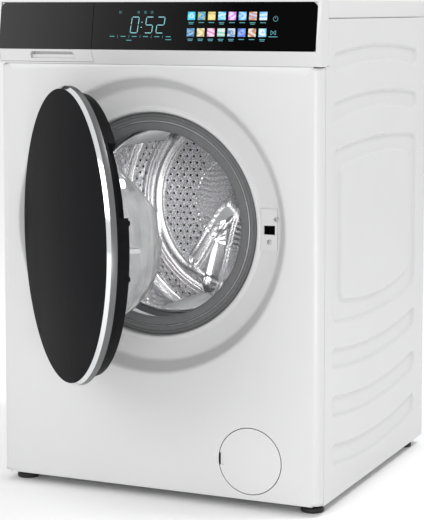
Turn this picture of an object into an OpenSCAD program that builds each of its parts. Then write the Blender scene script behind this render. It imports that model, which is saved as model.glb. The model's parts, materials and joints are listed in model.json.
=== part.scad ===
// Front load washing machine: cabinet, hinged porthole door, suspended tub,
// belt driven drum, detergent drawer and drain filter, each piece a solid of its own.
// Millimetres. +X right, +Y to the rear, +Z up. The origin lies on the floor,
// under the centre of the cabinet.

/* [Cabinet] */
// Width over the side panels
body_w = 600; // [590:1:760]
// Depth from the front face to the rear panel
body_d = 560; // [545:1:700]
// Height of the worktop above the floor
body_h = 850; // [845:1:1050]
// Thickness of the cabinet sheet
sheet_t = 1.2; // [0.8:0.1:1.6]
// Gap between the floor and the cabinet
foot_gap = 16; // [14:0.5:24]
// Radius of the two front corners
corner_r = 15; // [8:1:17]
// How far the front panel wraps round the corners
front_wrap = 18; // [17:0.5:30]
// Width of the return flanges on the panels
flange_w = 14; // [8:1:16]
// Gap between neighbouring panels
seam_gap = 0.6; // [0.4:0.1:1.5]
// Height of the worktop edge
top_edge = 30; // [20:1:36]
// Depth of the pressings in the side panels
press_depth = 4.5; // [2:0.5:6]

/* [Console] */
// Height of the console
console_h = 108; // [100:1:125]
// How far the console stands out at its fold
console_out = 12; // [6:1:16]
// Depth of the console from the front face
console_d = 30; // [26:1:40]
// Height of the glass
glass_h = 80; // [70:1:84]
// Thickness of the glass
glass_t = 3; // [2:0.5:4]
// White border left and right of the glass
glass_side = 5; // [4:0.5:12]
// Radius of the upper corners of the glass
glass_r = 13; // [4:1:20]

/* [Drawer] */
// Width of the detergent drawer front
drawer_w = 181; // [160:1:220]
// Depth of the dispenser housing behind the console
dispenser_d = 286; // [240:1:300]
// Wall of the tray and the housing
tray_t = 2; // [1.5:0.1:3]
// Running gap round the tray
tray_gap = 2.5; // [1:0.1:4]

/* [Porthole] */
// Centre of the porthole to the left of the middle
port_left = 15; // [0:1:20]
// Height of the porthole centre
port_z = 469; // [460:1:500]
// Outer radius of the dish pressed into the front
dish_r = 251; // [246:0.5:258]
// Radius of the flat floor of the dish
dish_floor_r = 235; // [232:0.5:240]
// Depth of the dish
dish_depth = 25; // [24:0.5:28]
// Radius of the bead round the mouth
bead_r = 197; // [194:0.5:200]
// Height of the bead above the dish floor
bead_h = 3; // [1:0.5:3.5]
// Radius of the mouth that holds the gasket
mouth_r = 190; // [188:0.5:191]

/* [Door] */
// Outer radius of the chrome ring
rim_r = 243; // [238:0.5:246]
// Radial width of the chrome bevel
bevel_w = 4.5; // [3:0.5:8]
// Depth of the chrome bevel
bevel_d = 6; // [3:0.5:8]
// Depth of the chrome ring
rim_d = 16; // [14:0.5:18]
// Thickness of the door glass
door_glass_t = 4; // [3:0.5:5]
// Whole depth of the door without the bowl
door_d = 39; // [34:0.5:40]
// How far the closed door stands out of the front
door_out = 18; // [16.5:0.5:22]
// Outer radius of the inner ring at the chrome
pan_r = 236; // [230:0.5:238]
// Outer radius of the inner ring at its back
pan_back_r = 230; // [224:0.5:232]
// Radius of the glass bowl
bowl_r = 150; // [130:1:154]
// Depth of the glass bowl behind the door front
bowl_d = 150; // [110:1:170]
// Thickness of the glass bowl
bowl_t = 5; // [3:0.5:7]
// Distance of the hinge axis in from the rim
hinge_in = 26; // [24:0.5:30]
// Distance of the hinge axis behind the door front
hinge_back = 9; // [8.5:0.5:10]
// Radius of the hinge pin
hinge_pin_r = 3; // [2:0.1:3.4]
// Opening angle of the door at rest
door_rest = 45; // [0:1:110]

/* [Tub and drum] */
// Outer radius of the tub
tub_r = 256; // [250:1:260]
// Wall of the tub
tub_t = 4; // [3:0.5:6]
// Outer radius of the drum
drum_r = 236; // [225:1:238]
// Thickness of the drum sheet
drum_t = 1.2; // [0.8:0.1:2]
// Length of the drum
drum_l = 296; // [260:1:300]
// Radius of the drum mouth
drum_mouth_r = 158; // [150:1:160]
// Radius of the drum shaft
shaft_r = 12.5; // [10:0.5:15]
// Height of the lifters inside the drum
lifter_h = 58; // [30:1:80]
// Turn of the lifters from the lowest point
lifter_turn = 15; // [0:1:60]
// Radius of the drum pulley
pulley_r = 130; // [100:1:150]
// Radius of the motor pulley
motor_pulley_r = 10; // [8:0.5:16]
// Radius of the motor housing
motor_r = 54; // [40:1:56]

/* [Suspension] */
// Radius of the damper rods
rod_r = 10; // [6:0.5:12]
// Radius of the suspension springs
spring_r = 12; // [9:0.5:16]
// Running clearance of shafts and pins
fit = 0.05; // [0.02:0.01:0.09]

/* [Drain filter] */
// Radius of the opening for the filter cover
filter_r = 57; // [50:0.5:62]
// Gap round the filter cover
cover_gap = 1.4; // [1.2:0.1:2]
// Bore radius of the filter chamber
chamber_r = 30; // [24:0.5:34]
// Radius of the pump impeller
impeller_r = 20; // [14:0.5:21]

/* [Feet] */
// Radius of the foot pads
foot_r = 20; // [16:0.5:25]
// Radius of the foot studs
stud_r = 5; // [4:0.5:6]

/* [Hidden] */
$fn = 96;
cut = 1;                                    // overshoot of a cutting shape
port_x = -port_left;
half_w = body_w / 2;
console_z = body_h - console_h;             // underside of the console
panel_h = console_z - foot_gap;             // height of the front panel
side_y = front_wrap + seam_gap;             // front edge of the side panels
back_y = body_d - sheet_t;                  // inner face of the rear panel
side_end = back_y - 0.2;                    // rear edge of the side panels
side_top = body_h - top_edge - 0.4;         // upper edge of the side and rear panels
tray_z = foot_gap + sheet_t + 0.2;          // underside of the base tray
tray_top = tray_z + sheet_t;

// Console section
fold_z = body_h - 84;                       // height of the fold in the console front
glass_z = fold_z + 1;                       // lower edge of the glass
glass_x0 = -half_w + glass_side;
glass_x1 = half_w - glass_side - 2;
seam_x = glass_x0 + drawer_w + 0.5;         // seam between drawer and console
drawer_x0 = glass_x0 + 0.5;
drawer_x1 = seam_x - 0.5;
drawer_z = console_z + 3.6;                 // lower edge of the drawer front
drawer_back = 8;                            // rear face of the drawer front
drawer_top = glass_z + glass_h - 0.4;

// Dispenser
house_x0 = drawer_x0 + 3.5;
house_x1 = drawer_x1 - 3.5;
house_z0 = console_z + 4;
house_z1 = side_top - sheet_t - 0.5;
house_y0 = 14;
house_y1 = house_y0 + dispenser_d;
tray_x0 = house_x0 + tray_t + tray_gap;
tray_x1 = house_x1 - tray_t - tray_gap;
tray_floor = house_z0 + tray_t + tray_gap;
tray_rim = house_z1 - 8;
tray_y1 = house_y1 - tray_t - 8;
divider_x = [tray_x0 + 54, tray_x1 - 56];   // left face of each divider
flap_y = house_y0 + 136;
flap_z = tray_rim - 6;
flap_pin_r = 1.5;
spout_x = min(house_x1 - 33, port_x - 135); // where the dispenser drains into the tub
spout_y = 180;
spout_r = 18;
fill_z = body_h - 75;
fill_r = 6;

// Door, described closed and then turned about its hinge
front_y = -door_out;                        // front of the closed door
hinge_x = port_x - rim_r + hinge_in;
hinge_y = front_y + hinge_back;
door_glass_r = rim_r - bevel_w;
pan_y = front_y + door_d;                   // rear face of the inner ring
plate_t = 3;                                // wall of the inner ring
knuckle_z = 44;                             // half length of the knuckle
arm_t = 8;                                  // thickness of each hinge arm
arm_w = 6;                                  // width of each hinge arm
arm_reach = 20.5;                           // offset of the arm from the pin
swing_r = hinge_back + door_d - 18.5;       // what may pass behind the hinge axis
hook_x = port_x + 215;
hook_y = pan_y - 9;
hook_pin_r = 2;
lock_z0 = port_z - 33;
lock_z1 = port_z + 36;
lock_seat = dish_depth - 0.8;                // seat of the lock screws in the lock cover

// Gasket and tub
face_y = dish_depth + 5;                    // front face of the gasket
tub_y0 = 82;
tub_y1 = 428;
tub_seam = 250;
tub_mouth_r = 172;
gasket_end = tub_y0 - 2;
drum_y0 = 100;
drum_y1 = drum_y0 + drum_l;
hub_r = 36;                                 // bearing hub of the tub
bearing_r = 26;
hub_end = 466;
wall_y = tub_y1 - 8;                        // inner face of the tub's rear wall
pulley_y = 478;
pulley_w = 18;
belt_t = 3;
belt_gap = 0.3;
motor_x = port_x + 90;
motor_z = port_z - 304;
motor_y0 = 270;
motor_y1 = 420;
motor_shaft_r = 6;
sump_x = port_x + 75;
sump_y = 105;
sump_r = 16;
heater_r = 4;
heater_mid = (drum_r + tub_r - tub_t) / 2;
heater_half = 25;
spring_x = 225;                             // springs left and right of the tub centre
spring_y = 325;
spring_z0 = port_z + 150;
spring_left = port_x - spring_x;
fill_line = house_x0 + 101;                 // line of the fill hose, moved aside where the spring hangs
fill_x = abs(fill_line - spring_left) < 26 ? spring_left + 26 : fill_line;
spring_z1 = side_top - 28;
damper_x = 150;
damper_y = 225;
damper_z0 = tray_top;
damper_z1 = tray_top + 110;
damper_wall = 4;

// Drain filter and pump, set from the right edge of the cabinet
filter_x = half_w - 125;
filter_z = foot_gap + 66.5;
cover_t = 2.4;
cover_r = filter_r - cover_gap;
cover_pin_x = filter_x + cover_r + 11;       // the pin lies beyond the opening, behind the panel
cover_pin_y = 6.5;
cover_pin_r = 1.5;
cover_arm = 12;                             // half width of the curved hinge arm
ear_z0 = cover_arm + 2;
ear_t = 5;
chamber_y0 = 28;
chamber_y1 = 124;
volute_y1 = chamber_y1 + 20;
pump_z = filter_z - 4;

// Feet
foot_x = half_w - 28;
foot_y_front = 40;
foot_y_rear = body_d - 42;
pad_h = 9;
nut_h = 5.6;
boss_h = 16;

// Rear
screw_r = 1.75;
head_r = 4;
rear_screws = [for (s = [-1, 1], z = [foot_gap + 30 : 148 : side_top - 20]) [s * (half_w - 8), z]];
cover_hole_r = pulley_r + 10;
rear_cover_r = cover_hole_r + 12;
cover_screws = [for (a = [30 : 60 : 330])
    [port_x + (cover_hole_r + 6) * cos(a), port_z + (cover_hole_r + 6) * sin(a)]];
transit_x = 190;
transit_z = 130;
transit_r = 9;
inlet_r = 13.2;
outlet_x = half_w - 70;
outlet_z = side_top - 90;
outlet_r = 10;
gland_x = half_w - 60;
gland_z = foot_gap + 104;
gland_r = 8;
lock_screws = [[hook_x + 12.7, port_z + 19], [hook_x, port_z - 19]];

// ---- Shared shapes

module at_front() { translate([0, -body_d / 2, 0]) children(); }

// Local Z runs to the rear, local X stays across, local Y points down
module to_rear(x, z) { translate([x, 0, z]) rotate([-90, 0, 0]) children(); }

module port() { at_front() to_rear(port_x, port_z) children(); }

// Local X and Y become Y and Z, and the extrusion runs along X
module along_x(x0, x1) { translate([x0, 0, 0]) rotate([90, 0, 90]) linear_extrude(x1 - x0) children(); }

module block(x, y, z) { translate([x[0], y[0], z[0]]) cube([x[1] - x[0], y[1] - y[0], z[1] - z[0]]); }

module disc(r, y0, y1) { translate([0, 0, y0]) cylinder(r = r, h = y1 - y0); }

module ring(r_out, r_in, y0, y1) {
    difference() {
        disc(r_out, y0, y1);
        disc(r_in, y0 - cut, y1 + cut);
    }
}

module bar_z(x, y, r, z0, z1) { translate([x, y, z0]) cylinder(r = r, h = z1 - z0); }

module bar_x(y, z, r, x0, x1) { translate([x0, y, z]) rotate([0, 90, 0]) cylinder(r = r, h = x1 - x0); }

function arc(c, r, a0, a1, n = 8) =
    [for (i = [0 : n]) c + r * [cos(a0 + (a1 - a0) * i / n), sin(a0 + (a1 - a0) * i / n)]];

// Outline seen from above, with both front corners rounded
function plan(w, y0, y1, r) = concat(
    [[w / 2, y1], [-w / 2, y1]],
    arc([-w / 2 + r, y0 + r], r, 180, 270),
    arc([w / 2 - r, y0 + r], r, 270, 360));

// Rectangle with its own radius at the lower and at the upper corners
function panel_outline(x0, x1, z0, z1, r_low, r_top) = concat(
    arc([x0 + r_low, z0 + r_low], r_low, 180, 270),
    arc([x1 - r_low, z0 + r_low], r_low, 270, 360),
    arc([x1 - r_top, z1 - r_top], r_top, 0, 90),
    arc([x0 + r_top, z1 - r_top], r_top, 90, 180));

// ---- Cabinet

function dish_section() = let(t = sheet_t, d = dish_depth, b = dish_depth - bead_h, m = bead_r - 4) [
    [dish_r + 3, 0], [dish_r, 0], [dish_floor_r, d], [bead_r + 4, d], [bead_r, b], [m, b],
    [mouth_r, d + 6], [mouth_r + t, d + 6], [m + 0.6, b + t], [bead_r - 0.6, b + t],
    [bead_r + 3.4, d + t], [dish_floor_r + 0.8, d + t], [dish_r + t, t], [dish_r + 3, t]];

module lock_opening(y0, y1) {
    block([hook_x - 10, hook_x + 10], [y0, y1], [port_z - 6.8, port_z + 8.8]);
}

module front_panel() {
    color("white") {
        difference() {
            at_front() translate([0, 0, foot_gap]) linear_extrude(panel_h)
                polygon(plan(body_w, 0, front_wrap, corner_r));
            at_front() translate([0, 0, foot_gap + sheet_t]) linear_extrude(panel_h - 2 * sheet_t)
                polygon(plan(body_w - 2 * sheet_t, sheet_t, front_wrap + cut, corner_r - sheet_t));
            port() disc(dish_r + 1.5, -cut, front_wrap + cut);
            at_front() to_rear(filter_x, filter_z) disc(filter_r, -cut, sheet_t + cut);
        }
        difference() {
            port() rotate_extrude() polygon(dish_section());
            at_front() lock_opening(0, dish_depth + 4);
            at_front() for (s = lock_screws)
                to_rear(s[0], s[1]) disc(screw_r + 0.1, dish_depth - cut, dish_depth + 3);
        }
        at_front() for (s = [-1, 1]) difference() {
            block([cover_pin_x - 4, cover_pin_x + 4], [sheet_t - 0.2, cover_pin_y + 4],
                [filter_z + s * (ear_z0 + ear_t / 2) - ear_t / 2,
                    filter_z + s * (ear_z0 + ear_t / 2) + ear_t / 2]);
            bar_z(cover_pin_x, cover_pin_y, cover_pin_r + fit,
                filter_z - ear_z0 - ear_t - cut, filter_z + ear_z0 + ear_t + cut);
        }
    }
}

// A band across the side panel: heights and rise of its upper and lower edge, drawn in by d
function band(y0, y1, top, rise_top, low, rise_low, d = 0, n = 12) = concat(
    [for (i = [0 : n]) let(u = i / n) [y0 + d + (y1 - y0 - 2 * d) * u,
        low + d + 4 * rise_low * u * (1 - u)]],
    [for (i = [0 : n]) let(u = 1 - i / n) [y0 + d + (y1 - y0 - 2 * d) * u,
        top - d + 4 * rise_top * u * (1 - u)]]);

press_y0 = side_y + 37;
press_y1 = side_end - 51;
bands = concat(
    [for (down = [57, 138]) [press_y0, press_y1, body_h - top_edge - down, 13,
        body_h - top_edge - down - 36, 17]],
    [for (up = [259, 177, 95]) [press_y0, press_y1, foot_gap + up, -18, foot_gap + up - 36, -18]]);
field = [press_y0, press_y1, body_h - top_edge - 217, 12, foot_gap + 300, -16];
plateau = [press_y0 + 43, press_y1 - 40, field[2] - 31, 10, field[4] + 37, -17];

module band_shape(b, d) { polygon(band(b[0], b[1], b[2], b[3], b[4], b[5], d)); }

// The right side panel; its outer face lies at half_w
module side_panel() {
    x1 = half_w;
    x0 = half_w - sheet_t;
    pan_x = x0 - press_depth;
    difference() {
        along_x(x0, x1) polygon([[side_y, foot_gap], [side_end, foot_gap], [side_end, side_top],
            [console_d + 0.4, side_top], [console_d + 0.4, console_z - 0.4], [side_y, console_z - 0.4]]);
        for (b = concat(bands, [field])) along_x(x0 - cut, x1 + cut) band_shape(b, sheet_t / 2);
    }
    for (b = bands) difference() {
        along_x(pan_x, x1) band_shape(b, 0);
        along_x(pan_x + sheet_t, x1 + cut) band_shape(b, sheet_t);
    }
    difference() {
        along_x(pan_x, x1) band_shape(field, 0);
        difference() {
            along_x(pan_x + sheet_t, x1 + cut) band_shape(field, sheet_t);
            along_x(pan_x, x1) band_shape(plateau, 0);
        }
        along_x(pan_x - cut, x0) band_shape(plateau, sheet_t);
    }
    side_flanges(x0, x1);
}

module side_flanges(x0, x1) {
    x_in = x1 - flange_w - sheet_t;
    block([x_in, x0 + 0.2], [side_y, side_y + sheet_t], [foot_gap, console_z - 0.4]);
    block([x_in, x0 + 0.2], [side_y, side_end], [foot_gap, foot_gap + sheet_t]);
    block([x_in, x0 + 0.2], [console_d + 0.4, side_end], [side_top - sheet_t, side_top]);
    difference() {
        block([x_in, x0 + 0.2], [side_end - sheet_t, side_end], [foot_gap, side_top]);
        for (s = rear_screws) to_rear(s[0], s[1]) disc(screw_r + 0.1, side_end - 3, side_end + 1);
    }
    block([x1 - 40, x0 + 0.2], [spring_y - 18, spring_y + 18], [side_top - 10, side_top - 6]);
}

module side_panel_right() { color("whitesmoke") at_front() side_panel(); }

module side_panel_left() { color("whitesmoke") at_front() mirror([1, 0, 0]) side_panel(); }

module rear_panel() {
    color("silver") at_front() difference() {
        block([-half_w, half_w], [back_y, body_d], [foot_gap, side_top]);
        to_rear(port_x, port_z) disc(cover_hole_r, back_y - cut, body_d + cut);
        for (s = concat(rear_screws, cover_screws))
            to_rear(s[0], s[1]) disc(screw_r + 0.1, back_y - cut, body_d + cut);
        for (sx = [-1, 1], sz = [-1, 1])
            to_rear(port_x + sx * transit_x, port_z + sz * transit_z)
                disc(transit_r, back_y - cut, body_d + cut);
        to_rear(fill_x, fill_z) disc(inlet_r + 1.2, back_y - cut, body_d + cut);
        to_rear(outlet_x, outlet_z) disc(outlet_r + 1.2, back_y - cut, body_d + cut);
        to_rear(gland_x, gland_z) disc(gland_r + 0.2, back_y - cut, body_d + cut);
    }
}

module rear_cover() {
    color("gainsboro") difference() {
        port() rotate_extrude() polygon([[0, body_d + 6], [cover_hole_r - 16, body_d + 6],
            [cover_hole_r - 4, body_d + 0.2], [rear_cover_r, body_d + 0.2], [rear_cover_r, body_d + 1.7],
            [cover_hole_r - 3, body_d + 1.7], [cover_hole_r - 15, body_d + 7.5], [0, body_d + 7.5]]);
        at_front() for (s = cover_screws)
            to_rear(s[0], s[1]) disc(screw_r + 0.1, body_d - cut, body_d + 4);
    }
}

module top_panel() {
    color("white") at_front() difference() {
        block([-half_w, half_w], [console_d + 0.5, body_d], [body_h - top_edge, body_h]);
        block([-half_w + 3, half_w - 3], [console_d + 3.5, body_d - 3],
            [body_h - top_edge - cut, body_h - 16]);
    }
}

module base_tray() {
    x = half_w - sheet_t - 0.6;
    y0 = side_y + sheet_t + 0.4;
    y1 = side_end - sheet_t - 0.4;
    color("lightgrey") at_front() difference() {
        union() {
            block([-x, x], [y0, y1], [tray_z, tray_top]);
            for (s = [-1, 1]) block([s * (x - sheet_t / 2) - sheet_t / 2,
                s * (x - sheet_t / 2) + sheet_t / 2],
                [y0, y1], [tray_z, tray_z + 22]);
            block([-x, x], [y0, y0 + sheet_t], [tray_z, tray_z + 22]);
            block([-x, x], [y1 - sheet_t, y1], [tray_z, tray_z + 22]);
            for (sx = [-1, 1], y = [foot_y_front, foot_y_rear])
                bar_z(sx * foot_x, y, stud_r + 7, tray_z, tray_top + boss_h);
        }
        for (sx = [-1, 1], y = [foot_y_front, foot_y_rear])
            bar_z(sx * foot_x, y, stud_r + fit, tray_z - cut, tray_top + boss_h + cut);
    }
}

module foot(sx, y) {
    color("black") at_front() translate([sx * foot_x, y, 0]) {
        difference() {
            cylinder(r = foot_r, h = pad_h);
            translate([0, 0, -cut]) cylinder(r = foot_r - 6, h = 1.5 + cut);
        }
        translate([0, 0, pad_h - 0.1]) cylinder(r = stud_r, h = tray_top + boss_h - pad_h + 6);
    }
}

module foot_front_left() { foot(-1, foot_y_front); }
module foot_front_right() { foot(1, foot_y_front); }
module foot_rear_left() { foot(-1, foot_y_rear); }
module foot_rear_right() { foot(1, foot_y_rear); }

// Pan head screw with a shank; local Z points out of the head
module screw(shank) {
    difference() {
        union() {
            cylinder(r = head_r, h = 1.4);
            translate([0, 0, 1.4]) cylinder(r1 = head_r, r2 = head_r - 1.4, h = 0.9);
        }
        for (a = [0, 90]) rotate([0, 0, a]) translate([-2.2, -0.4, 1.2]) cube([4.4, 0.8, 2]);
    }
    translate([0, 0, -shank]) cylinder(r = screw_r, h = shank + 0.1);
}

module fasteners() {
    color("silver") at_front() {
        for (s = rear_screws) translate([s[0], body_d, s[1]]) rotate([-90, 0, 0]) screw(5);
        for (s = cover_screws) translate([s[0], body_d + 1.7, s[1]]) rotate([-90, 0, 0]) screw(6);
        for (s = lock_screws) translate([s[0], lock_seat, s[1]]) rotate([90, 0, 0]) screw(6);
        for (sx = [-1, 1], y = [foot_y_front, foot_y_rear]) translate([sx * foot_x, y, tray_z - nut_h])
            difference() {
                cylinder(r = stud_r * 1.9, h = nut_h, $fn = 6);
                translate([0, 0, -cut]) cylinder(r = stud_r + fit, h = nut_h + 2 * cut);
            }
    }
}

// ---- Console and detergent drawer

slope = console_out / glass_h;              // run of the glass plane per unit of height

// Console section in Y and Z, from height z0 to z1, back to y1
function fascia_section(z0, z1, y1) = [
    [-console_out * (z0 - console_z) / (fold_z - console_z), z0], [-console_out, fold_z],
    [-console_out, glass_z - 0.3], [-console_out + glass_t + 0.3, glass_z - 0.3],
    [-console_out + glass_t + 0.3 + slope * (z1 - glass_z), z1], [y1, z1], [y1, z0]];

module console_fascia() {
    z_lip = glass_z + glass_h + 0.3;
    color("white") at_front() difference() {
        intersection() {
            union() {
                along_x(-half_w, half_w) polygon(fascia_section(console_z, z_lip, console_d));
                along_x(-half_w, half_w) polygon([[0.05, z_lip - 0.01], [1.5, body_h],
                    [console_d, body_h],
                    [console_d, z_lip - 0.01]]);
                for (s = [-1, 1]) along_x(s > 0 ? glass_x1 + 0.4 : -half_w,
                    s > 0 ? half_w : glass_x0 - 0.4)
                    polygon([[-console_out, glass_z - 1], [0, z_lip], [8, z_lip], [8, glass_z - 1]]);
            }
            linear_extrude(body_h + cut) polygon(plan(body_w, -console_out, console_d, corner_r - 2));
        }
        along_x(-half_w + 2.5, half_w - 2.5) polygon([[5, console_z + 2.5], [-5, fold_z - 1],
            [-5, glass_z],
            [7, z_lip - 2], [7, body_h - 2.5], [console_d + cut, body_h - 2.5],
                [console_d + cut, console_z + 2.5]]);
        block([drawer_x0 - 0.6, drawer_x1 + 0.5], [-console_out - cut, console_d + cut],
            [drawer_z - 0.6, z_lip]);
    }
}

module glass_sheet(x0, x1) {
    intersection() {
        along_x(x0, x1) polygon([[-console_out, glass_z], [0, glass_z + glass_h],
            [glass_t, glass_z + glass_h], [-console_out + glass_t, glass_z]]);
        translate([0, console_d, 0]) rotate([90, 0, 0]) linear_extrude(2 * console_d)
            polygon(panel_outline(glass_x0, glass_x1, glass_z - 0.5, glass_z + glass_h + 0.5, 5,
                glass_r));
    }
}

module control_glass() { color("black") at_front() glass_sheet(seam_x + 0.5, glass_x1 + cut); }

module drawer_glass() { color("black") at_front() glass_sheet(glass_x0 - cut, drawer_x1); }

module display_board() {
    y = 12;
    color("darkgreen") at_front() {
        block([seam_x + 60, glass_x1 - 40], [y, y + 1.6], [glass_z + 8, glass_z + 68]);
        block([port_x - 30, port_x + 44], [y + 1.6, y + 9], [glass_z + 20, glass_z + 60]);
        for (x = [seam_x + 70, glass_x1 - 56])
            block([x, x + 6], [y + 1.6, y + 14], [glass_z + 14, glass_z + 62]);
    }
}

module drawer_front() {
    recess_x0 = drawer_x0 + 60;
    recess_x1 = drawer_x1 - 34;
    color("white") at_front() difference() {
        along_x(drawer_x0, drawer_x1) polygon(fascia_section(drawer_z, drawer_top - 0.2, drawer_back));
        block([recess_x0, recess_x1], [-console_out - cut, -1], [console_z + 9, console_z + 17]);
        block([recess_x0 + 3, recess_x1 - 3], [-console_out - cut, 4], [console_z + 16, console_z + 21]);
    }
}

module drawer_tray() {
    t = tray_t;
    color("aliceblue") at_front() difference() {
        union() {
            block([tray_x0, tray_x1], [drawer_back + 0.05, drawer_back + t], [tray_floor, tray_rim]);
            difference() {
                block([tray_x0, tray_x1], [drawer_back + 0.05, tray_y1], [tray_floor, tray_rim]);
                block([tray_x0 + t, tray_x1 - t], [drawer_back + t, tray_y1 - t],
                    [tray_floor + t, tray_rim + cut]);
            }
            for (x = divider_x) block([x, x + t], [drawer_back + 1, tray_y1 - 1],
                [tray_floor + 1, tray_rim]);
        }
        bar_x(flap_y, flap_z, flap_pin_r + fit, divider_x[0] - cut, divider_x[1] + t + cut);
    }
}

module drawer_flap() {
    x0 = divider_x[0] + tray_t + 0.5;
    x1 = divider_x[1] - 0.5;
    color("lightblue") at_front() {
        bar_x(flap_y, flap_z, flap_pin_r, x0 - 2, x1 + 2);
        block([x0, x1], [flap_y - 0.9, flap_y + 0.9], [tray_floor + tray_t + 6, flap_z]);
    }
}

module dispenser_housing() {
    t = tray_t;
    color("aliceblue") at_front() difference() {
        union() {
            difference() {
                block([house_x0, house_x1], [house_y0, house_y1], [house_z0, house_z1]);
                block([house_x0 + t, house_x1 - t], [house_y0 - cut, house_y1 - t],
                    [house_z0 + t, house_z1 - t]);
            }
            bar_z(spout_x, spout_y, spout_r, house_z0 - 22, house_z0 + t / 2);
            to_rear(fill_x, fill_z) disc(fill_r, house_y1 - t / 2, house_y1 + 14);
        }
        bar_z(spout_x, spout_y, spout_r - t, house_z0 - 22 - cut, house_z0 + t + cut);
        to_rear(fill_x, fill_z) disc(fill_r - t, house_y1 - t - cut, house_y1 + 14 + cut);
    }
}

module fill_hose() {
    color("dimgray") at_front() to_rear(fill_x, fill_z)
        ring(fill_r + 2.6, fill_r + 0.05, house_y1 + 1, back_y - 44);
}

module inlet_valve() {
    y1 = back_y - 0.3;
    color("white") at_front() {
        difference() {
            union() {
                block([fill_x - 20, fill_x + 20], [y1 - 40, y1], [fill_z - 19, fill_z + 19]);
                to_rear(fill_x, fill_z) disc(fill_r, y1 - 56, y1 - 39);
                to_rear(fill_x, fill_z) disc(inlet_r, y1 - cut, body_d + 15);
                bar_z(fill_x, y1 - 20, 13, fill_z + 18, fill_z + 30);
            }
            to_rear(fill_x, fill_z) disc(9, y1 - 24, body_d + 15 + cut);
            to_rear(fill_x, fill_z) disc(fill_r - tray_t, y1 - 56 - cut, y1 - 23);
        }
    }
}

// Corrugated tube wall: points of a pleated section from z0 to z1
function pleats(r, t, rise, z0, z1, n) = concat(
    [for (i = [0 : 2 * n]) [r + t + (i % 2) * rise, z0 + (z1 - z0) * i / (2 * n)]],
    [for (i = [2 * n : -1 : 0]) [r + (i % 2) * rise, z0 + (z1 - z0) * i / (2 * n)]]);

spout_tub_z = port_z + sqrt(pow(tub_r, 2) - pow(spout_x - port_x, 2));

module dispenser_hose() {
    color("dimgray") at_front() translate([spout_x, spout_y, 0]) rotate_extrude()
        polygon(pleats(spout_r + 0.05, 2.5, 4, spout_tub_z + 16, house_z0 - 2, 4));
}

// ---- Porthole, lock and hinge

// Room for the bead in what lies on the floor of the dish
module bead_room() { port() disc(bead_r + 4.4, dish_depth - bead_h - 0.4, dish_depth + cut); }

module lock_cover() {
    color("white") difference() {
        at_front() block([port_x + bead_r + 1, port_x + bead_r + 32], [dish_depth - 2, dish_depth - 0.05],
            [lock_z0, lock_z1]);
        at_front() lock_opening(dish_depth - 2 - cut, dish_depth + cut);
        at_front() for (s = lock_screws) to_rear(s[0], s[1]) {
            disc(screw_r + 0.1, dish_depth - 3, dish_depth + 1);
            disc(head_r + 0.4, dish_depth - 3, lock_seat);
        }
        bead_room();
    }
}

module door_lock() {
    y0 = dish_depth + sheet_t + 0.3;
    color("dimgray") at_front() difference() {
        block([hook_x - 15, hook_x + 20], [y0, y0 + 23], [port_z - 40, port_z + 44]);
        block([hook_x - 10, hook_x + 10], [y0 - cut, y0 + 18.5], [port_z - 6.8, port_z + 8.8]);
        for (s = lock_screws) to_rear(s[0], s[1]) disc(screw_r + 0.1, y0 - cut, y0 + 8);
    }
}

// Both hinge arms, their plate on the dish floor and the pin
module hinge_bracket() {
    w = arm_w / 2;
    color("silver") difference() {
        at_front() hinge_arms(w);
        bead_room();
    }
    color("silver") at_front()
        bar_z(hinge_x, hinge_y, hinge_pin_r, port_z - knuckle_z - arm_t, port_z + knuckle_z + arm_t);
}

module hinge_arms(w) {
    foot_y = dish_depth - 0.05;
    for (s = [-1, 1])
        translate([hinge_x, hinge_y, port_z + s * (knuckle_z + 0.5 + arm_t / 2) - arm_t / 2])
            linear_extrude(arm_t) polygon(concat(arc([0, 0], w + 1.5, 90, 270),
                [[w, -w - 0.5], [arm_reach + w, -w], [arm_reach + w, foot_y - hinge_y],
                [arm_reach - w, foot_y - hinge_y], [arm_reach - w, w], [w, w + 0.5]]));
    block([hinge_x + 4, hinge_x + arm_reach + w], [foot_y - 1.95, foot_y], [port_z - 58, port_z + 58]);
}

gasket_r = mouth_r - 1.4;                   // edge of the gasket face inside the mouth
lip_r = 160;                                // inner lip of the gasket
clamp_r = 176;

module gasket() {
    f = face_y;
    b = tub_mouth_r + 4.3;
    color("gray") port() difference() {
        rotate_extrude() polygon([[lip_r, f], [gasket_r, f], [gasket_r, f + 1.6], [mouth_r + 5, f + 1.6],
            [mouth_r + 5, f + 8], [mouth_r - 3, f + 8], [mouth_r - 3, f + 20], [mouth_r + 6, f + 25],
            [mouth_r + 6, f + 30], [b + 4.7, f + 36], [b + 4.7, gasket_end], [b, gasket_end],
                [b, f + 33.5],
            [mouth_r, f + 28.5], [mouth_r, f + 26.5], [mouth_r - 8, f + 22], [mouth_r - 8, f + 6],
                [lip_r, f + 6]]);
        ring(clamp_r + 1.6, clamp_r - 1.6, f - cut, f + 2);
    }
}

module gasket_clamp() {
    color("lightgray") port() translate([0, 0, face_y + 0.8]) rotate_extrude() translate([clamp_r, 0])
        circle(r = 1.1, $fn = 24);
}

// Turns what is drawn closed to the door's resting angle
module door_at_rest() {
    at_front() translate([hinge_x, hinge_y, 0]) rotate([0, 0, -door_rest])
        translate([-hinge_x, -hinge_y, 0]) children();
}

// Door axis: local Z runs to the rear from the door's front
module door_axis() { translate([port_x, front_y, port_z]) rotate([-90, 0, 0]) children(); }

module door_glass() {
    color("black") door_at_rest() door_axis() rotate_extrude()
        polygon([[0, 0.2], [door_glass_r - 1.5, 0.2], [door_glass_r - 0.3, 1.2],
            [door_glass_r - 0.3, door_glass_t],
            [0, door_glass_t]]);
}

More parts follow.
